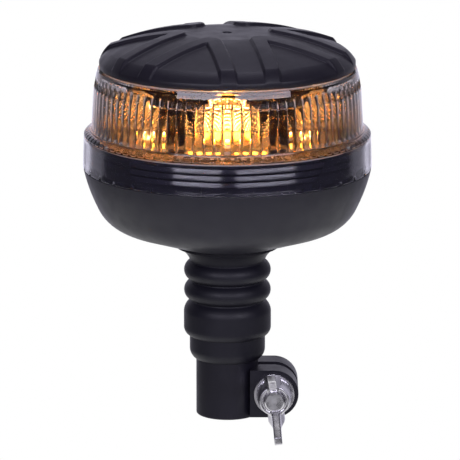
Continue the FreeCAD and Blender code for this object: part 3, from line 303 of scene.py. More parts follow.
def rounded(before, corner, after, radius, steps=3):
    """Points that round a corner between two straight runs."""
    to_before = Vector((before[0] - corner[0], before[1] - corner[1])).normalized()
    to_after = Vector((after[0] - corner[0], after[1] - corner[1])).normalized()
    half = math.acos(max(-1.0, min(1.0, to_before.dot(to_after)))) / 2
    back = radius / math.tan(half)
    first = (corner[0] + to_before.x * back, corner[1] + to_before.y * back)
    last = (corner[0] + to_after.x * back, corner[1] + to_after.y * back)
    turn = to_before.x * to_after.y - to_before.y * to_after.x
    return [first] + arc(first, last, math.copysign(radius, -turn), steps)


def outline(points, spacing, arc_spacing=0.6):
    """A closed outline from (radius, height, curve, round) points.

    The curve is the radius of the arc to the next point, and 0 is straight.
    The round softens the corner.
    """
    corners = []
    for place, (r, z, curve, soft) in enumerate(points):
        if soft:
            before = points[place - 1]
            after = points[(place + 1) % len(points)]
            softened = rounded(before, (r, z), after, soft)
            corners += [(*point, 0) for point in softened[:-1]] + [(*softened[-1], curve)]
        else:
            corners.append((r, z, curve))
    path = []
    for place, (r, z, curve) in enumerate(corners):
        following = corners[(place + 1) % len(corners)][:2]
        if curve:
            steps = max(3, math.ceil(math.dist((r, z), following) / arc_spacing))
            path += arc((r, z), following, curve, steps)
        else:
            path += line((r, z), following, spacing)
    return path


def new_piece(name, vertices, faces, smooth_angle=SMOOTH_ANGLE):
    """A mesh object in metres from vertices in millimetres, smooth except at its sharp edges."""
    mesh = bpy.data.meshes.new(name)
    mesh.from_pydata((np.asarray(vertices, float) * MM).tolist(), [], faces)
    mesh.validate()
    mesh.shade_smooth()
    mesh.set_sharp_from_angle(angle=math.radians(smooth_angle))
    piece = bpy.data.objects.new(name, mesh)
    bpy.context.scene.collection.objects.link(piece)
    return piece


def bake(piece):
    """Gives the piece the mesh that its modifiers make."""
    depsgraph = bpy.context.evaluated_depsgraph_get()
    made = bpy.data.meshes.new_from_object(piece.evaluated_get(depsgraph))
    piece.modifiers.clear()
    piece.data = made


def ring_points(section, sides, centre=(0.0, 0.0)):
    """Points on level rings round a centre, one ring for each (radius, height) of the section."""
    turns = [FULL_TURN * side / sides for side in range(sides)]
    return [(centre[0] + r * math.cos(turn), centre[1] + r * math.sin(turn), z)
            for r, z in section for turn in turns]


def grid_faces(rows, columns, close_rows=True):
    """Quads over a grid of points whose columns run round, and whose rows close up if asked."""
    faces = []
    for row in range(rows if close_rows else rows - 1):
        above = (row + 1) % rows
        for column in range(columns):
            beside = (column + 1) % columns
            faces.append((row * columns + column, row * columns + beside,
                          above * columns + beside, above * columns + column))
    return faces


def capped_faces(rows, columns):
    """Quads over a grid of points whose columns run round, with a face over the first and last row."""
    last = (rows - 1) * columns
    ends = [tuple(reversed(range(columns))), tuple(range(last, last + columns))]
    return grid_faces(rows, columns, close_rows=False) + ends


def shifted(faces, start):
    """The faces with their corners counted from a start."""
    return [tuple(start + corner for corner in face) for face in faces]


def turned(name, path, segments, shape=None, smooth_angle=SMOOTH_ANGLE):
    """A ring turned from a closed outline.

    Shape may move the points, which it takes as arrays of radii, heights and angles.
    """
    radii = np.array([point[0] for point in path])[:, None]
    heights = np.array([point[1] for point in path])[:, None]
    angles = np.arange(segments)[None, :] * FULL_TURN / segments
    radii, heights, angles = np.broadcast_arrays(radii, heights, angles)
    if shape:
        radii, heights = shape(radii, heights, angles)
    points = np.stack([radii * np.cos(angles), radii * np.sin(angles), heights], axis=-1)
    return new_piece(name, points.reshape(-1, 3), grid_faces(len(path), segments), smooth_angle)


def tube(name, paths, radius, sides=16):
    """Round wires with closed ends along paths of points."""
    vertices, faces = [], []
    for path in paths:
        faces += shifted(capped_faces(len(path), sides), len(vertices))
        points = [Vector(point) for point in path]
        first_way = (points[1] - points[0]).normalized()
        aside = Vector((1, 0, 0)) if abs(first_way.x) < 0.9 else Vector((0, 1, 0))
        for place, point in enumerate(points):
            ahead = points[min(place + 1, len(points) - 1)]
            behind = points[max(place - 1, 0)]
            along = (ahead - behind).normalized()
            aside = (aside - along * aside.dot(along)).normalized()
            other = along.cross(aside)
            for side in range(sides):
                angle = FULL_TURN * side / sides
                vertices.append(point + radius * (math.cos(angle) * aside + math.sin(angle) * other))
    return new_piece(name, vertices, faces)


def smoothstep(value, low, high):
    """0 below low, 1 above high and a smooth rise between."""
    share = np.clip((value - low) / (high - low), 0, 1)
    return share * share * (3 - 2 * share)


# Material building blocks

def new_material(name):
    """A material with its node tree, its shader and the object's own coordinates."""
    material = bpy.data.materials.new(name)
    material.use_nodes = True
    tree = material.node_tree
    coords = tree.nodes.new("ShaderNodeTexCoord").outputs["Object"]
    return material, tree, tree.nodes["Principled BSDF"], coords


def axis(tree, vector, name):
    """The X, Y or Z of a vector."""
    node = tree.nodes.new("ShaderNodeSeparateXYZ")
    tree.links.new(vector, node.inputs["Vector"])
    return node.outputs[name]


def noise(tree, coords, scale, detail=2.0):
    """A noise pattern from 0 to 1; the scale is in waves per metre."""
    node = tree.nodes.new("ShaderNodeTexNoise")
    node.inputs["Scale"].default_value = scale
    node.inputs["Detail"].default_value = detail
    tree.links.new(coords, node.inputs["Vector"])
    return node.outputs["Fac"]


def mapped(tree, value, start, finish):
    """The value's range from start, mapped to the range finish and held there."""
    node = tree.nodes.new("ShaderNodeMapRange")
    node.inputs["From Min"].default_value, node.inputs["From Max"].default_value = start
    node.inputs["To Min"].default_value, node.inputs["To Max"].default_value = finish
    tree.links.new(value, node.inputs["Value"])
    return node.outputs["Result"]


def spread(tree, pattern, low, high):
    """The pattern's middle range, mapped to run from low to high."""
    return mapped(tree, pattern, MIDDLE_RANGE, (low, high))


def tinted(tree, pattern, dark, light):
    """A colour that runs from dark to light with the pattern."""
    node = tree.nodes.new("ShaderNodeValToRGB")
    for stop, place, colour in zip(node.color_ramp.elements, MIDDLE_RANGE, (dark, light)):
        stop.position = place
        stop.color = (*colour, 1)
    tree.links.new(pattern, node.inputs["Fac"])
    return node.outputs["Color"]


def mixed(tree, factor, first, second):
    """A colour from first to second, each an output or a plain colour."""
    node = tree.nodes.new("ShaderNodeMix")
    node.data_type = "RGBA"
    tree.links.new(factor, node.inputs["Factor"])
    for name, colour in (("A", first), ("B", second)):
        if isinstance(colour, tuple):
            node.inputs[name].default_value = (*colour, 1)
        else:
            tree.links.new(colour, node.inputs[name])
    return node.outputs["Result"]


def math_node(tree, operation, first, second):
    """The result of a sum on two outputs or numbers."""
    node = tree.nodes.new("ShaderNodeMath")
    node.operation = operation
    for socket, value in zip(node.inputs, (first, second)):
        if isinstance(value, (int, float)):
            socket.default_value = value
        else:
            tree.links.new(value, socket)
    return node.outputs["Value"]


def add(tree, first, second):
    """The sum of two outputs, held to 1."""
    total = math_node(tree, "ADD", first, second)
    total.node.use_clamp = True
    return total


def bump(tree, shader, pattern, height):
    """Raises the surface with the pattern; the height is in metres."""
    node = tree.nodes.new("ShaderNodeBump")
    node.inputs["Distance"].default_value = height
    tree.links.new(pattern, node.inputs["Height"])
    tree.links.new(node.outputs["Normal"], shader.inputs["Normal"])


def show_mix(tree, factor, first, second):
    """Gives the surface a mix of two shaders."""
    node = tree.nodes.new("ShaderNodeMixShader")
    tree.links.new(factor, node.inputs["Fac"])
    tree.links.new(first, node.inputs[1])
    tree.links.new(second, node.inputs[2])
    tree.links.new(node.outputs["Shader"], tree.nodes["Material Output"].inputs["Surface"])


def shades(colour, change):
    """The colour made darker and lighter by a share."""
    return [tuple(channel * factor for channel in colour) for factor in (1 - change, 1 + change)]


# Materials

def moulded(name, colour, roughness, grain=2600, specular=0.4, polished_above=None):
    """Moulded plastic or rubber: fine grain, soft flow marks and a slightly uneven sheen.

    Where a height is given, the mould is polished above it.
    """
    material, tree, shader, coords = new_material(name)
    flow = noise(tree, coords, FLOW_WAVES, detail=3)
    fine = noise(tree, coords, grain)
    tree.links.new(tinted(tree, flow, *shades(colour, FLOW_CHANGE)), shader.inputs["Base Color"])
    sheen = spread(tree, noise(tree, coords, SHEEN_WAVES, detail=3),
                   roughness - SHEEN_CHANGE, roughness + SHEEN_CHANGE)
    if polished_above:
        fade = (polished_above, polished_above + POLISH_FADE)
        matt = mapped(tree, axis(tree, coords, "Z"), fade, (1.0, POLISH))
        sheen = math_node(tree, "MULTIPLY", sheen, matt)
        fine = math_node(tree, "MULTIPLY", fine, matt)
    tree.links.new(sheen, shader.inputs["Roughness"])
    shader.inputs["Specular IOR Level"].default_value = specular
    bump(tree, shader, fine, MOULD_GRAIN_HEIGHT)
    return material


def metal(name, colour, roughness, grain=900, grain_height=0.000004):
    """Bare metal with fine finishing marks and faint handling marks."""
    material, tree, shader, coords = new_material(name)
    marks = noise(tree, coords, grain, detail=3)
    handling = noise(tree, coords, HANDLING_WAVES, detail=3)
    tree.links.new(tinted(tree, handling, *shades(colour, change=0.06)), shader.inputs["Base Color"])
    shader.inputs["Metallic"].default_value = 1.0
    sheen = spread(tree, marks, *[roughness * share for share in METAL_SHEEN])
    tree.links.new(sheen, shader.inputs["Roughness"])
    bump(tree, shader, marks, grain_height)
    return material


def clear_plastic(name):
    """The smoky lens with its clear skirt; lamps shine straight through it, so the inside is lit."""
    material, tree, shader, coords = new_material(name)
    flow = noise(tree, coords, scale=60)
    height = axis(tree, coords, "Z")
    path = tree.nodes.new("ShaderNodeLightPath")
    smoky = mapped(tree, height, SKIRT_FADE, (0.0, 1.0))
    tint = mixed(tree, smoky, tinted(tree, flow, *SKIRT_COLOURS), tinted(tree, flow, *LENS_COLOURS))
    # Painted shade: after a mirror bounce the smoky lens turns nearly black
    mirrored = mapped(tree, path.outputs["Glossy Depth"], (0.0, 1.0), (0.0, 1.0))
    dim = math_node(tree, "MULTIPLY", smoky, mirrored)
    tree.links.new(mixed(tree, dim, tint, LENS_PAINTED_SHADE_MIRRORED), shader.inputs["Base Color"])
    sheen = spread(tree, noise(tree, coords, scale=300), low=0.015, high=0.035)
    tree.links.new(sheen, shader.inputs["Roughness"])
    shader.inputs["IOR"].default_value = 1.49
    shader.inputs["Transmission Weight"].default_value = 1.0
    bump(tree, shader, flow, height=0.000004)
    clear = tree.nodes.new("ShaderNodeBsdfTransparent")
    tree.links.new(mapped(tree, height, SKIRT_FADE, LAMP_LIGHT), clear.inputs["Color"])
    show_mix(tree, path.outputs["Is Shadow Ray"], shader.outputs["BSDF"], clear.outputs["BSDF"])
    return material


def glowing_dome(name):
    """The lit amber dome of an LED, brightest straight up."""
    material, tree, shader, coords = new_material(name)
    cells = noise(tree, coords, scale=1400)
    facing = axis(tree, coords.node.outputs["Normal"], "Z")
    amber, hot = [tinted(tree, cells, *shades(colour, change=0.05)) for colour in (LED_AMBER, LED_HOT)]
    glow = mixed(tree, mapped(tree, facing, LED_HOT_ZONE, (0.0, 1.0)), amber, hot)
    tree.links.new(glow, shader.inputs["Base Color"])
    tree.links.new(glow, shader.inputs["Emission Color"])
    strength = mapped(tree, facing, LED_GLOW_ZONE, (0.0, LED_STRENGTH))
    tree.links.new(strength, shader.inputs["Emission Strength"])
    shader.inputs["Roughness"].default_value = 0.2
    return material


def board_mask(name, colour):
    """Solder mask with faint copper tracks under it."""
    material, tree, shader, coords = new_material(name)
    tracks = tree.nodes.new("ShaderNodeTexVoronoi")
    tracks.distance = "CHEBYCHEV"
    tracks.inputs["Scale"].default_value = 160
    tree.links.new(coords, tracks.inputs["Vector"])
    tree.links.new(tinted(tree, tracks.outputs["Distance"], *shades(colour, change=0.2)),
                   shader.inputs["Base Color"])
    shader.inputs["Roughness"].default_value = 0.15
    shader.inputs["Specular IOR Level"].default_value = 0.2
    bump(tree, shader, tracks.outputs["Distance"], height=0.00003)
    return material


def woven(name, colour):
    """A fine woven membrane."""
    material, tree, shader, coords = new_material(name)
    weave = tree.nodes.new("ShaderNodeTexChecker")
    weave.inputs["Scale"].default_value = 3000
    for thread, shade in zip(("Color1", "Color2"), shades(colour, change=0.1)):
        weave.inputs[thread].default_value = (*shade, 1)
    tree.links.new(coords, weave.inputs["Vector"])
    tree.links.new(weave.outputs["Color"], shader.inputs["Base Color"])
    shader.inputs["Roughness"].default_value = 0.85
    bump(tree, shader, weave.outputs["Fac"], height=0.00002)
    return material


MATERIALS = {
    "socket_plastic": moulded("socket_plastic", (0.009, 0.008, 0.015), 0.45),
    "rubber": moulded("rubber", (0.008, 0.0075, 0.014), 0.5, grain=1800),
    "seal_rubber": moulded("seal_rubber", (0.004, 0.004, 0.004), 0.7, specular=0.1),
    "stainless_steel": metal("stainless_steel", (0.76, 0.75, 0.77), 0.31,
                             grain=260, grain_height=0.0000012),
    "screw_steel": metal("screw_steel", (0.55, 0.55, 0.55), 0.3),
    "contact_brass": metal("contact_brass", (0.75, 0.55, 0.25), 0.25),
    "silicone": moulded("silicone", (0.6, 0.58, 0.55), 0.4),
    "insulator": moulded("insulator", (0.6, 0.58, 0.54), 0.45),
    "wire_sleeve": moulded("wire_sleeve", (0.45, 0.05, 0.04), 0.4),
    "housing_plastic": moulded("housing_plastic", (0.013, 0.012, 0.021), 0.45,
                               specular=0.45, polished_above=COLLAR_FOOT),
    "cap_plastic": moulded("cap_plastic", (0.014, 0.012, 0.02), 0.45),
    "circuit_board": board_mask("circuit_board", (0.03, 0.034, 0.03)),
    "component_black": moulded("component_black", (0.04, 0.04, 0.04), 0.5),
    "heat_sink_metal": metal("heat_sink_metal", (0.6, 0.6, 0.62), 0.4, grain_height=0.00002),
    "led_ceramic": moulded("led_ceramic", (0.85, 0.82, 0.72), 0.5),
    "led_dome": glowing_dome("led_dome"),
    "reflector_coating": metal("reflector_coating", (0.86, 0.86, 0.87), 0.1,
                               grain=300, grain_height=0.000001),
    "clear_lens": clear_plastic("clear_lens"),
    "vent_fabric": woven("vent_fabric", (0.8, 0.8, 0.8)),
}


def paint_cad_nodes():
    """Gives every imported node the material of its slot."""
    for subpart in frame["record"]["subparts"]:
        materials = frame["nodes"][subpart["node"]].data.materials
        materials.clear()
        materials.append(MATERIALS[subpart["material_slot"]])


def finished(piece, slot, *nodes):
    """A piece with its slot's material, standing for the nodes it replaces."""
    piece.data.materials.append(MATERIALS[slot])
    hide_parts(*nodes)
    return piece


# Lens

def lens_shape(radii, heights, angles):
    """Moves the lens's points for its flutes, the beads on its shoulder and the dents in its skirt."""
    inside = (radii > LENS_INNER_WALL[0]) & (radii < LENS_INNER_WALL[1]) & (heights < FLUTE_TOP)
    run = (smoothstep(heights, FLUTE_BOTTOM, FLUTE_BOTTOM + FLUTE_RUN_OUT)
           * (1 - smoothstep(heights, FLUTE_TOP - FLUTE_TOP_RUN_OUT, FLUTE_TOP)))
    across = (angles * FLUTE_COUNT / FULL_TURN) % 1.0 * 2 - 1
    flute = FLUTE_DEPTH * np.sqrt(1 - across * across * FLUTE_ROUND)
    radii = radii - np.where(inside, run * flute, 0)
    shoulder = (radii > SHOULDER_RADIUS) & (heights > BEAD_BOTTOM) & (heights < BEAD_TOP)
    bead = 1 - smoothstep(np.abs(across), *BEAD_SIDE)
    radii = radii + np.where(shoulder, BEAD_HEIGHT * bead, 0)
    pitch = FULL_TURN / NUB_COUNT
    from_nub = np.abs((angles + math.pi / 2 + pitch / 2) % pitch - pitch / 2)
    dent = 1 - smoothstep(from_nub, NUB_HALF_WIDTH * NUB_FLAT, NUB_HALF_WIDTH)
    band = (smoothstep(heights, NUB_BOTTOM - NUB_EDGE, NUB_BOTTOM)
            * (1 - smoothstep(heights, NUB_TOP, NUB_TOP + NUB_EDGE)))
    radii = radii - np.where(radii > SKIRT_RADIUS, NUB_DEPTH * dent * band, 0)
    return radii, heights


def make_lens():
    """The clear lens with its skirt, shoulder, inner flutes and top flange."""
    points = [
        (68.8, 125.8, 0, 0.3),
        (70.98, 125.8, 0, 0.4),
        (70.93, 128.2, 0, 0),
        (70.55, 141.0, 3.6, 0),
        (67.9, 144.4, 0, 0),
        (67.55, 144.5, 0, 0),
        (67.35, 145.2, 0, 0.2),
        (66.8, 145.4, 0, 0),
        (65.7, 163.1, 46.0, 0),
        (63.5, 174.7, 0, 0),
        (58.2, 174.7, 0, 0),
        (58.2, 172.3, 0, 0),
        (60.9, 172.3, -43.4, 0),
        (63.1, 163.1, 0, 0),
        (64.08, 145.8, 0, 0),
        (64.14, 144.6, 0, 0),
        (64.3, 141.2, 0, 0),
        (68.8, 141.2, 0, 0.3),
    ]
    path = outline(points, spacing=1.4)
    lens = turned("fluted_lens", path, FLUTE_COUNT * FLUTE_STEPS, lens_shape)
    finished(lens, "clear_lens", "outer_lens")
    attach(lens, "head")


# Reflector

def bowl_space():
    """Points and faces of the space in one bowl, with its axis along z and its back at 0.

    The facets bulge more at the bowl's sides, and its foot is plain.
    """
    rows = FACET_ROWS * FACET_STEPS + 1
    columns = FACET_COLUMNS * FACET_STEPS
    share = np.arange(rows)[:, None] / (rows - 1)
    turn = np.arange(columns)[None, :] * FULL_TURN / columns
    radius = BOWL_FLAT + (BOWL_REACH - BOWL_FLAT) * share
    slope = radius / (2 * BOWL_FOCUS)
    along = (np.arange(rows)[:, None] / FACET_STEPS) % 1.0 * 2 - 1
    around = (np.arange(columns)[None, :] / FACET_STEPS) % 1.0 * 2 - 1
    to_side = smoothstep(np.abs(radius * np.sin(turn)), *FACET_SIDE)
    bulge_along, bulge_around = [FACET_BULGE + (side - FACET_BULGE) * to_side
                                 for side in FACET_SIDE_BULGE]
    pillow = bulge_along * (1 - along ** 2) + bulge_around * (1 - around ** 2)
    pillow = np.where(-radius * np.cos(turn) > FACET_FOOT, pillow, 0)
    depth = radius * slope / 2 + pillow
    radius = radius - pillow * slope
    points = np.stack([radius * np.cos(turn), radius * np.sin(turn), depth], axis=-1)
    return points.reshape(-1, 3), capped_faces(rows, columns)


def rod_space(radius, bottom, top, ring, angle):
    """Points and faces of an upright round hole on a ring."""
    centre = (ring * math.cos(angle), ring * math.sin(angle))
    points = ring_points([(radius, bottom), (radius, top)], HOLE_SIDES, centre)
    return points, capped_faces(2, HOLE_SIDES)


def reflector_spaces():
    """Points and faces of everything that is carved out of the reflector's block."""
    vertices, faces = [], []

    def gather(points, corners):
        faces.extend(shifted(corners, len(vertices)))
        vertices.extend(Vector(point) for point in points)

    bowl, bowl_faces = bowl_space()
    for led in range(LED_COUNT):
        angle = LED_FIRST_ANGLE + led * FULL_TURN / LED_COUNT
        back = Vector((BOWL_BACK * math.cos(angle), BOWL_BACK * math.sin(angle), BOWL_AXIS_HEIGHT))
        turn = Matrix.Rotation(angle, 3, "Z") @ Matrix.Rotation(math.pi / 2, 3, "Y")
        gather([turn @ Vector(point) + back for point in bowl], bowl_faces)
    for screw in range(BOSS_COUNT):
        angle = screw * FULL_TURN / BOSS_COUNT
        gather(*rod_space(FOOT_HOLE_RADIUS, REFLECTOR_BOTTOM - HOLE_OVER,
                          REFLECTOR_BOTTOM + FOOT_HOLE_DEPTH, FOOT_HOLE_RING, angle))
        gather(*rod_space(TOP_HOLE_RADIUS, REFLECTOR_TOP - TOP_HOLE_DEPTH,
                          REFLECTOR_TOP + HOLE_OVER, BOSS_RING, angle + math.pi / 2))
    return vertices, faces


def make_reflector():
    """The metallised carrier: six faceted bowls and the screw holes, carved out of a hollow block."""
    section = [
        (REFLECTOR_HOLLOW, REFLECTOR_TOP - REFLECTOR_PLATE),
        (REFLECTOR_HOLLOW, REFLECTOR_BOTTOM),
        (REFLECTOR_RADIUS, REFLECTOR_BOTTOM),
        (REFLECTOR_RADIUS, REFLECTOR_TOP),
    ]
    block = new_piece("faceted_reflector", ring_points(section, REFLECTOR_SIDES),
                      capped_faces(len(section), REFLECTOR_SIDES))
    spaces = new_piece("reflector_spaces", *reflector_spaces())
    carve = block.modifiers.new("carve", "BOOLEAN")
    carve.operation = "DIFFERENCE"
    carve.object = spaces
    bake(block)
    bpy.data.objects.remove(spaces)
    block.data.shade_smooth()
    block.data.set_sharp_from_angle(angle=math.radians(REFLECTOR_SMOOTH_ANGLE))
    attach(finished(block, "reflector_coating", "reflector_carrier"), "head")


# Cap

def soft_minimum(first, second, reach):
    """The lower of two values, with the corner between them rounded."""
    share = np.clip(0.5 + 0.5 * (second - first) / reach, 0, 1)
    return second * (1 - share) + first * share - reach * share * (1 - share)


def inside_wedge(across, aside, apex):
    """The depth inside a wedge that opens outwards from its apex, with a rounded tip."""
    along = (across - apex) * math.sin(RIB_SPREAD)
    lean = aside * math.cos(RIB_SPREAD)
    return soft_minimum(along - lean, along + lean, RIB_TIP_ROUND)


def rib_cover(radii, angles):
    """1 on the six raised V ribs, 0 off them, with soft edges."""
    cover = np.zeros_like(radii)
    for rib in range(RIB_COUNT):
        turn = angles - RIB_FIRST_ANGLE - rib * FULL_TURN / RIB_COUNT
        across = radii * np.cos(turn)
        aside = radii * np.sin(turn)
        outer = soft_minimum(inside_wedge(across, aside, RIB_APEX), across - RIB_START, RIB_TIP_ROUND)
        inner = inside_wedge(across, aside, RIB_PANEL_APEX)
        cover = np.maximum(cover, smoothstep(outer, -RIB_EDGE, RIB_EDGE)
                           * (1 - smoothstep(inner, -RIB_EDGE, RIB_EDGE)))
    return cover


def cap_top(rise, foot):
    """The cap's top line from its rim to the vent hole, raised for the ribs."""
    rim = (CAP_RIM_RADIUS, CAP_BOTTOM + foot)
    crease = (CREASE[0] + rise / 2, CREASE[1] + rise)
    hub = (HUB[0], HUB[1] + rise)
    path = [rim] + arc(rim, crease, FLANK_CURVE, FLANK_STEPS)
    path += arc(crease, hub, DOME_CURVE, DOME_STEPS)
    return path + line(hub, (VENT_RADIUS + CAP_EDGE, hub[1]), HUB_SPACING)


def make_cap():
    """The domed cap with six rounded V ribs and a vent hole."""
    low = np.array(cap_top(0.0, CAP_BAND))
    high = np.array(cap_top(RIB_RISE, RIB_FOOT))
    hidden = [(VENT_RADIUS, HUB[1] - CAP_EDGE), (VENT_RADIUS, INSIDE_HUB[1]), INSIDE_HUB]
    hidden += arc(INSIDE_HUB, INSIDE_CREASE, -DOME_CURVE, INSIDE_DOME_STEPS)
    hidden += arc(INSIDE_CREASE, INSIDE_FOOT, -INSIDE_FLANK_CURVE, INSIDE_FLANK_STEPS)
    hidden += [(CAP_RIM_RADIUS - CAP_EDGE, CAP_BOTTOM), (CAP_RIM_RADIUS, CAP_BOTTOM + CAP_EDGE)]
    path = [tuple(point) for point in low] + hidden

    def raise_ribs(radii, heights, angles):
        cover = rib_cover(radii, angles)[:len(low)]
        lifted = high[:, None, :] - low[:, None, :]
        radii = radii.copy()
        heights = heights.copy()
        radii[:len(low)] += cover * lifted[:, :, 0]
        heights[:len(low)] += cover * lifted[:, :, 1]
        return radii, heights

    cap = turned("ribbed_cap", path, CAP_SEGMENTS, raise_ribs, CAP_SMOOTH_ANGLE)
    finished(cap, "cap_plastic", "top_cap")
    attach(cap, "head")


def make_cap_bosses():
    """The tubes under the cap that take its screws."""
    section = outline([
        (BOSS_BORE, BOSS_BOTTOM, 0, 0),
        (BOSS_RADIUS, BOSS_BOTTOM, 0, BOSS_ROUND),
        (BOSS_RADIUS, BOSS_TOP, 0, 0),
        (BOSS_BORE, BOSS_TOP, 0, 0),
    ], spacing=4)
    vertices, faces = [], []
    for boss in range(BOSS_COUNT):
        angle = math.pi / 2 + boss * FULL_TURN / BOSS_COUNT
        centre = (BOSS_RING * math.cos(angle), BOSS_RING * math.sin(angle))
        faces += shifted(grid_faces(len(section), BOSS_SIDES), len(vertices))
        vertices += ring_points(section, BOSS_SIDES, centre)
    bosses = finished(new_piece("cap_bosses", vertices, faces), "cap_plastic", "top_cap")
    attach(bosses, "head")


# Rubber bellows and the wires in it

def make_bellows():
    """The rubber sleeve, barrel, convolutions and collar, in two pieces that meet at a groove."""
    lower = [
        (15.6, 28.9, 0, 0),
        (16.3, 28.9, 6.0, 0),
        (18.7, 33.9, 0, 0),
        (18.7, 40.4, 4.6, 0),
        (21.6, 44.4, 0, 0),
        (21.6, 52.3, 7.0, 0),
        (18.7, 57.95, -0.6, 0),
        (18.7, 58.85, 5.2, 0),
        (18.7, 68.05, -0.6, 0),
        (18.45, SPLIT_HEIGHT, 0, 0),
        (14.5, SPLIT_HEIGHT, 0, 0),
        (14.5, 50.1, 0, 0),
        (17.5, 50.1, 0, 0),
        (17.5, 45.9, 0, 0),
        (15.6, 45.9, 0, 0),
    ]
    upper = [
        (14.5, SPLIT_HEIGHT, 0, 0),
        (18.45, SPLIT_HEIGHT, -0.6, 0),
        (18.7, 68.95, 5.2, 0),
        (18.7, 78.15, -0.6, 0),
        (18.7, 79.05, -11.0, 0),
        (25.4, 85.6, 0, 0),
        (25.4, 87.25, 0, 0.4),
        (17.5, 87.25, 0, 0),
        (17.5, 90.35, 0, 0),
        (22.5, 90.35, 0, 0),
        (22.5, 93.3, 0, 0),
        (12.8, 93.3, 0, 0),
        (12.8, 83.0, 0, 0),
        (14.5, 78.6, 0, 0),
    ]
    for name, points, bodies, bend in [
        ("bellows_lower", lower, ("socket", "bellows"), LOWER_BEND),
        ("bellows_upper", upper, ("bellows", "head"), UPPER_BEND),
    ]:
        path = outline(points, spacing=1.0, arc_spacing=0.5)
        piece = turned(name, path, BELLOWS_SEGMENTS, smooth_angle=BELLOWS_SMOOTH_ANGLE)
        finished(piece, "rubber", "flexible_bellows")
        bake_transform(piece)


def wire_point(spot, start, height):
    """Where a wire's middle is at a height: it bows sideways between its pin and the grommet."""
    share = min(1.0, (height - start) / (WIRE_BOW_END - start))
    return spot[0] + WIRE_BOW * (1 - math.cos(FULL_TURN * share)) / 2, spot[1], height


def wire_path(spot, start, bottom, top):
    """Points along a wire between two heights."""
    heights = [bottom] + [point[1] for point in line((0, bottom), (0, top), WIRE_SPACING)]
    return [wire_point(spot, start, height) for height in heights]


def make_wires():
    """The two supply wires, in two pieces that meet where the bellows' pieces do."""
    lower = [wire_path(spot, start, start, SPLIT_HEIGHT) for spot, start in WIRE_STARTS]
    upper = [wire_path(spot, start, SPLIT_HEIGHT, WIRE_TOP) for spot, start in WIRE_STARTS]
    for name, paths, bodies, bend in [
        ("supply_wires_lower", lower, ("socket", "bellows"), LOWER_BEND),
        ("supply_wires_upper", upper, ("bellows", "head"), UPPER_BEND),
    ]:
        piece = finished(tube(name, paths, WIRE_RADIUS), "wire_sleeve", "supply_wires")
        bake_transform(piece)


# Socket and clamp

def make_spring():
    """The coil spring behind the centre contact; it is not made to shorten as the contact is pressed in.
    """
    steps = SPRING_TURNS * SPRING_TURN_STEPS
    path = []
    for step in range(steps + 1):
        angle = FULL_TURN * SPRING_TURNS * step / steps
        height = SPRING_BOTTOM + (SPRING_TOP - SPRING_BOTTOM) * step / steps
        path.append((SPRING_COIL_RADIUS * math.cos(angle), SPRING_COIL_RADIUS * math.sin(angle), height))
    spring = tube("spring_coil", [path], SPRING_WIRE_RADIUS, SPRING_WIRE_SIDES)
    finished(spring, "screw_steel", "contact_spring")
    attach(spring, "socket")
    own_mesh(spring)


def wing_section(share):
    """Four corners of the wing at a share of its length, flared at the root; the tip faces forward."""
    across, forward = [WING_ROOT[way] + (WING_TIP[way] - WING_ROOT[way]) * share for way in (0, 1)]
    half = WING_ROOT_HALF + (WING_TIP_HALF - WING_ROOT_HALF) * share
    flare = 1 - float(smoothstep(share, 0.0, WING_FLARE))
    thick = WING_THICKNESS + (WING_ROOT_THICKNESS - WING_THICKNESS) * flare
    return [(across - side * half, deep * thick / 2, forward)
            for side, deep in ((-1, 1), (1, 1), (1, -1), (-1, -1))]


def make_wing_nut():
    """The cast wing nut: hub and wings grown together, with soft edges and a bore."""
    hub = outline([
        (5.05, 0, 0, 0),
        (9.0, 0, 0, 0),
        (7.4, 11.5, 0, 0),
        (6.1, 11.5, 0, 0),
        (5.05, 10.5, 0, 0),
    ], spacing=1.0)
    vertices = ring_points(hub, NUT_SIDES)
    faces = grid_faces(len(hub), NUT_SIDES)
    for way in (1, -1):
        faces += shifted(capped_faces(WING_SECTIONS, 4), len(vertices))
        for place in range(WING_SECTIONS):
            corners = wing_section(place / (WING_SECTIONS - 1))
            vertices += [(way * across, way * deep, forward) for across, deep, forward in corners]
    nut = new_piece("winged_nut", vertices, faces)
    grow = nut.modifiers.new("grow", "REMESH")
    grow.mode = "VOXEL"
    grow.voxel_size = WING_VOXEL * MM
    soften = nut.modifiers.new("soften", "SMOOTH")
    soften.factor = WING_SMOOTHING_SHARE
    soften.iterations = WING_SMOOTHING
    bake(nut)
    nut.data.shade_smooth()
    turn = Matrix.Rotation(NUT_TILT, 4, Vector((0, -1, 0))) @ Matrix.Rotation(math.pi / 2, 4, "X")
    nut.data.transform(Matrix.Translation(Vector(NUT_PLACE) * MM) @ turn)
    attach(finished(nut, "stainless_steel", "wing_nut"), "nut")


# Studio

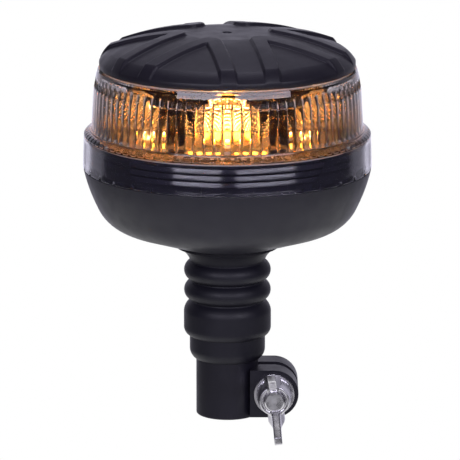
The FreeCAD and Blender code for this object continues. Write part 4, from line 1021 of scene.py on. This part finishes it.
def make_floor():
    """A pale disc well below the beacon, white to the eye, that still takes its shadow."""
    edge = ring_points([(FLOOR_RADIUS, FLOOR_HEIGHT)], FLOOR_SIDES)
    floor = new_piece("floor", edge, [tuple(range(FLOOR_SIDES))])
    material, tree, shader, coords = new_material("pale_floor")
    tree.links.new(tinted(tree, noise(tree, coords, FLOOR_WAVES), *FLOOR_COLOURS),
                   shader.inputs["Base Color"])
    shader.inputs["Roughness"].default_value = 0.9
    soft = tree.nodes.new("ShaderNodeBsdfDiffuse")
    soft.inputs["Color"].default_value = (*FLOOR_SEEN_COLOUR, 1)
    glow = tree.nodes.new("ShaderNodeEmission")
    glow.inputs["Strength"].default_value = FLOOR_SEEN_GLOW
    both = tree.nodes.new("ShaderNodeAddShader")
    tree.links.new(soft.outputs["BSDF"], both.inputs[0])
    tree.links.new(glow.outputs["Emission"], both.inputs[1])
    path = tree.nodes.new("ShaderNodeLightPath")
    seen = add(tree, path.outputs["Is Camera Ray"],
               add(tree, path.outputs["Is Glossy Ray"], path.outputs["Is Transmission Ray"]))
    show_mix(tree, seen, shader.outputs["BSDF"], both.outputs["Shader"])
    floor.data.materials.append(material)


def make_world():
    """A white backdrop behind a dim room; the eye and clear glass see white all round."""
    world = bpy.data.worlds.new("studio")
    bpy.context.scene.world = world
    world.use_nodes = True
    tree = world.node_tree
    coords = tree.nodes.new("ShaderNodeTexCoord").outputs["Generated"]
    level = tree.nodes.new("ShaderNodeVectorMath")
    level.operation = "MULTIPLY"
    level.inputs[1].default_value = (1, 1, 0)
    tree.links.new(coords, level.inputs[0])
    around = tree.nodes.new("ShaderNodeVectorMath")
    around.operation = "NORMALIZE"
    tree.links.new(level.outputs["Vector"], around.inputs[0])
    backwards = axis(tree, around.outputs["Vector"], "Y")
    sides = mapped(tree, backwards, BACKDROP_EDGE, (0.0, BACKDROP_SIDE))
    middle = mapped(tree, backwards, BACKDROP_MIDDLE, (0.0, 1 - BACKDROP_SIDE - DARK_ROOM))
    behind = math_node(tree, "ADD", sides, middle)
    below = mapped(tree, axis(tree, coords, "Z"), BACKDROP_TOP, BACKDROP_FADE)
    room = math_node(tree, "ADD", math_node(tree, "MULTIPLY", behind, below), DARK_ROOM)
    path = tree.nodes.new("ShaderNodeLightPath")
    mirrored = math_node(tree, "GREATER_THAN", path.outputs["Glossy Depth"], 0.5)
    scattered = math_node(tree, "GREATER_THAN", path.outputs["Diffuse Depth"], 0.5)
    direct = math_node(tree, "SUBTRACT", 1.0, add(tree, mirrored, scattered))
    through = math_node(tree, "MULTIPLY", path.outputs["Is Transmission Ray"], direct)
    seen = add(tree, path.outputs["Is Camera Ray"], through)
    background = tree.nodes["Background"]
    tree.links.new(mixed(tree, seen, STUDIO_TINT, WHITE), background.inputs["Color"])
    tree.links.new(add(tree, room, seen), background.inputs["Strength"])


def make_lamp(name, azimuth, elevation, distance, size, power):
    """A soft box that faces the beacon's head."""
    light = bpy.data.lights.new(name, "AREA")
    light.shape = "RECTANGLE"
    light.size, light.size_y = size
    light.energy = power
    light.color = STUDIO_TINT
    lamp = bpy.data.objects.new(name, light)
    bpy.context.scene.collection.objects.link(lamp)
    turn, tilt = math.radians(azimuth), math.radians(elevation)
    away = Vector((math.sin(turn) * math.cos(tilt), -math.cos(turn) * math.cos(tilt), math.sin(tilt)))
    lamp.location = LAMP_AIM + away * distance
    lamp.rotation_euler = away.to_track_quat("Z", "Y").to_euler()
    lamp.visible_camera = False


def make_lights():
    """Two soft boxes in front, one at each side of the camera, and a weak one above the back."""
    for name, settings in LAMPS.items():
        make_lamp(name, *settings)


def make_camera():
    """The photograph's long lens, a little above the beacon."""
    camera = bpy.data.cameras.new("camera")
    half_width = METRES_PER_PIXEL * IMAGE_SIZE / 2
    camera.sensor_width = SENSOR_WIDTH
    camera.lens = camera.sensor_width * CAMERA_DISTANCE / (2 * half_width)
    viewer = bpy.data.objects.new("camera", camera)
    bpy.context.scene.collection.objects.link(viewer)
    away = Vector((0, -math.cos(CAMERA_ELEVATION), math.sin(CAMERA_ELEVATION)))
    viewer.location = CAMERA_AIM + away * CAMERA_DISTANCE
    viewer.rotation_euler = away.to_track_quat("Z", "Y").to_euler()
    bpy.context.scene.camera = viewer


make_camera()
paint_cad_nodes()
make_reflector()
make_lens()
make_cap()
make_cap_bosses()
make_bellows()
make_wires()
make_spring()
make_wing_nut()
make_floor()
make_world()
make_lights()
bpy.context.scene.view_settings.view_transform = "Standard"
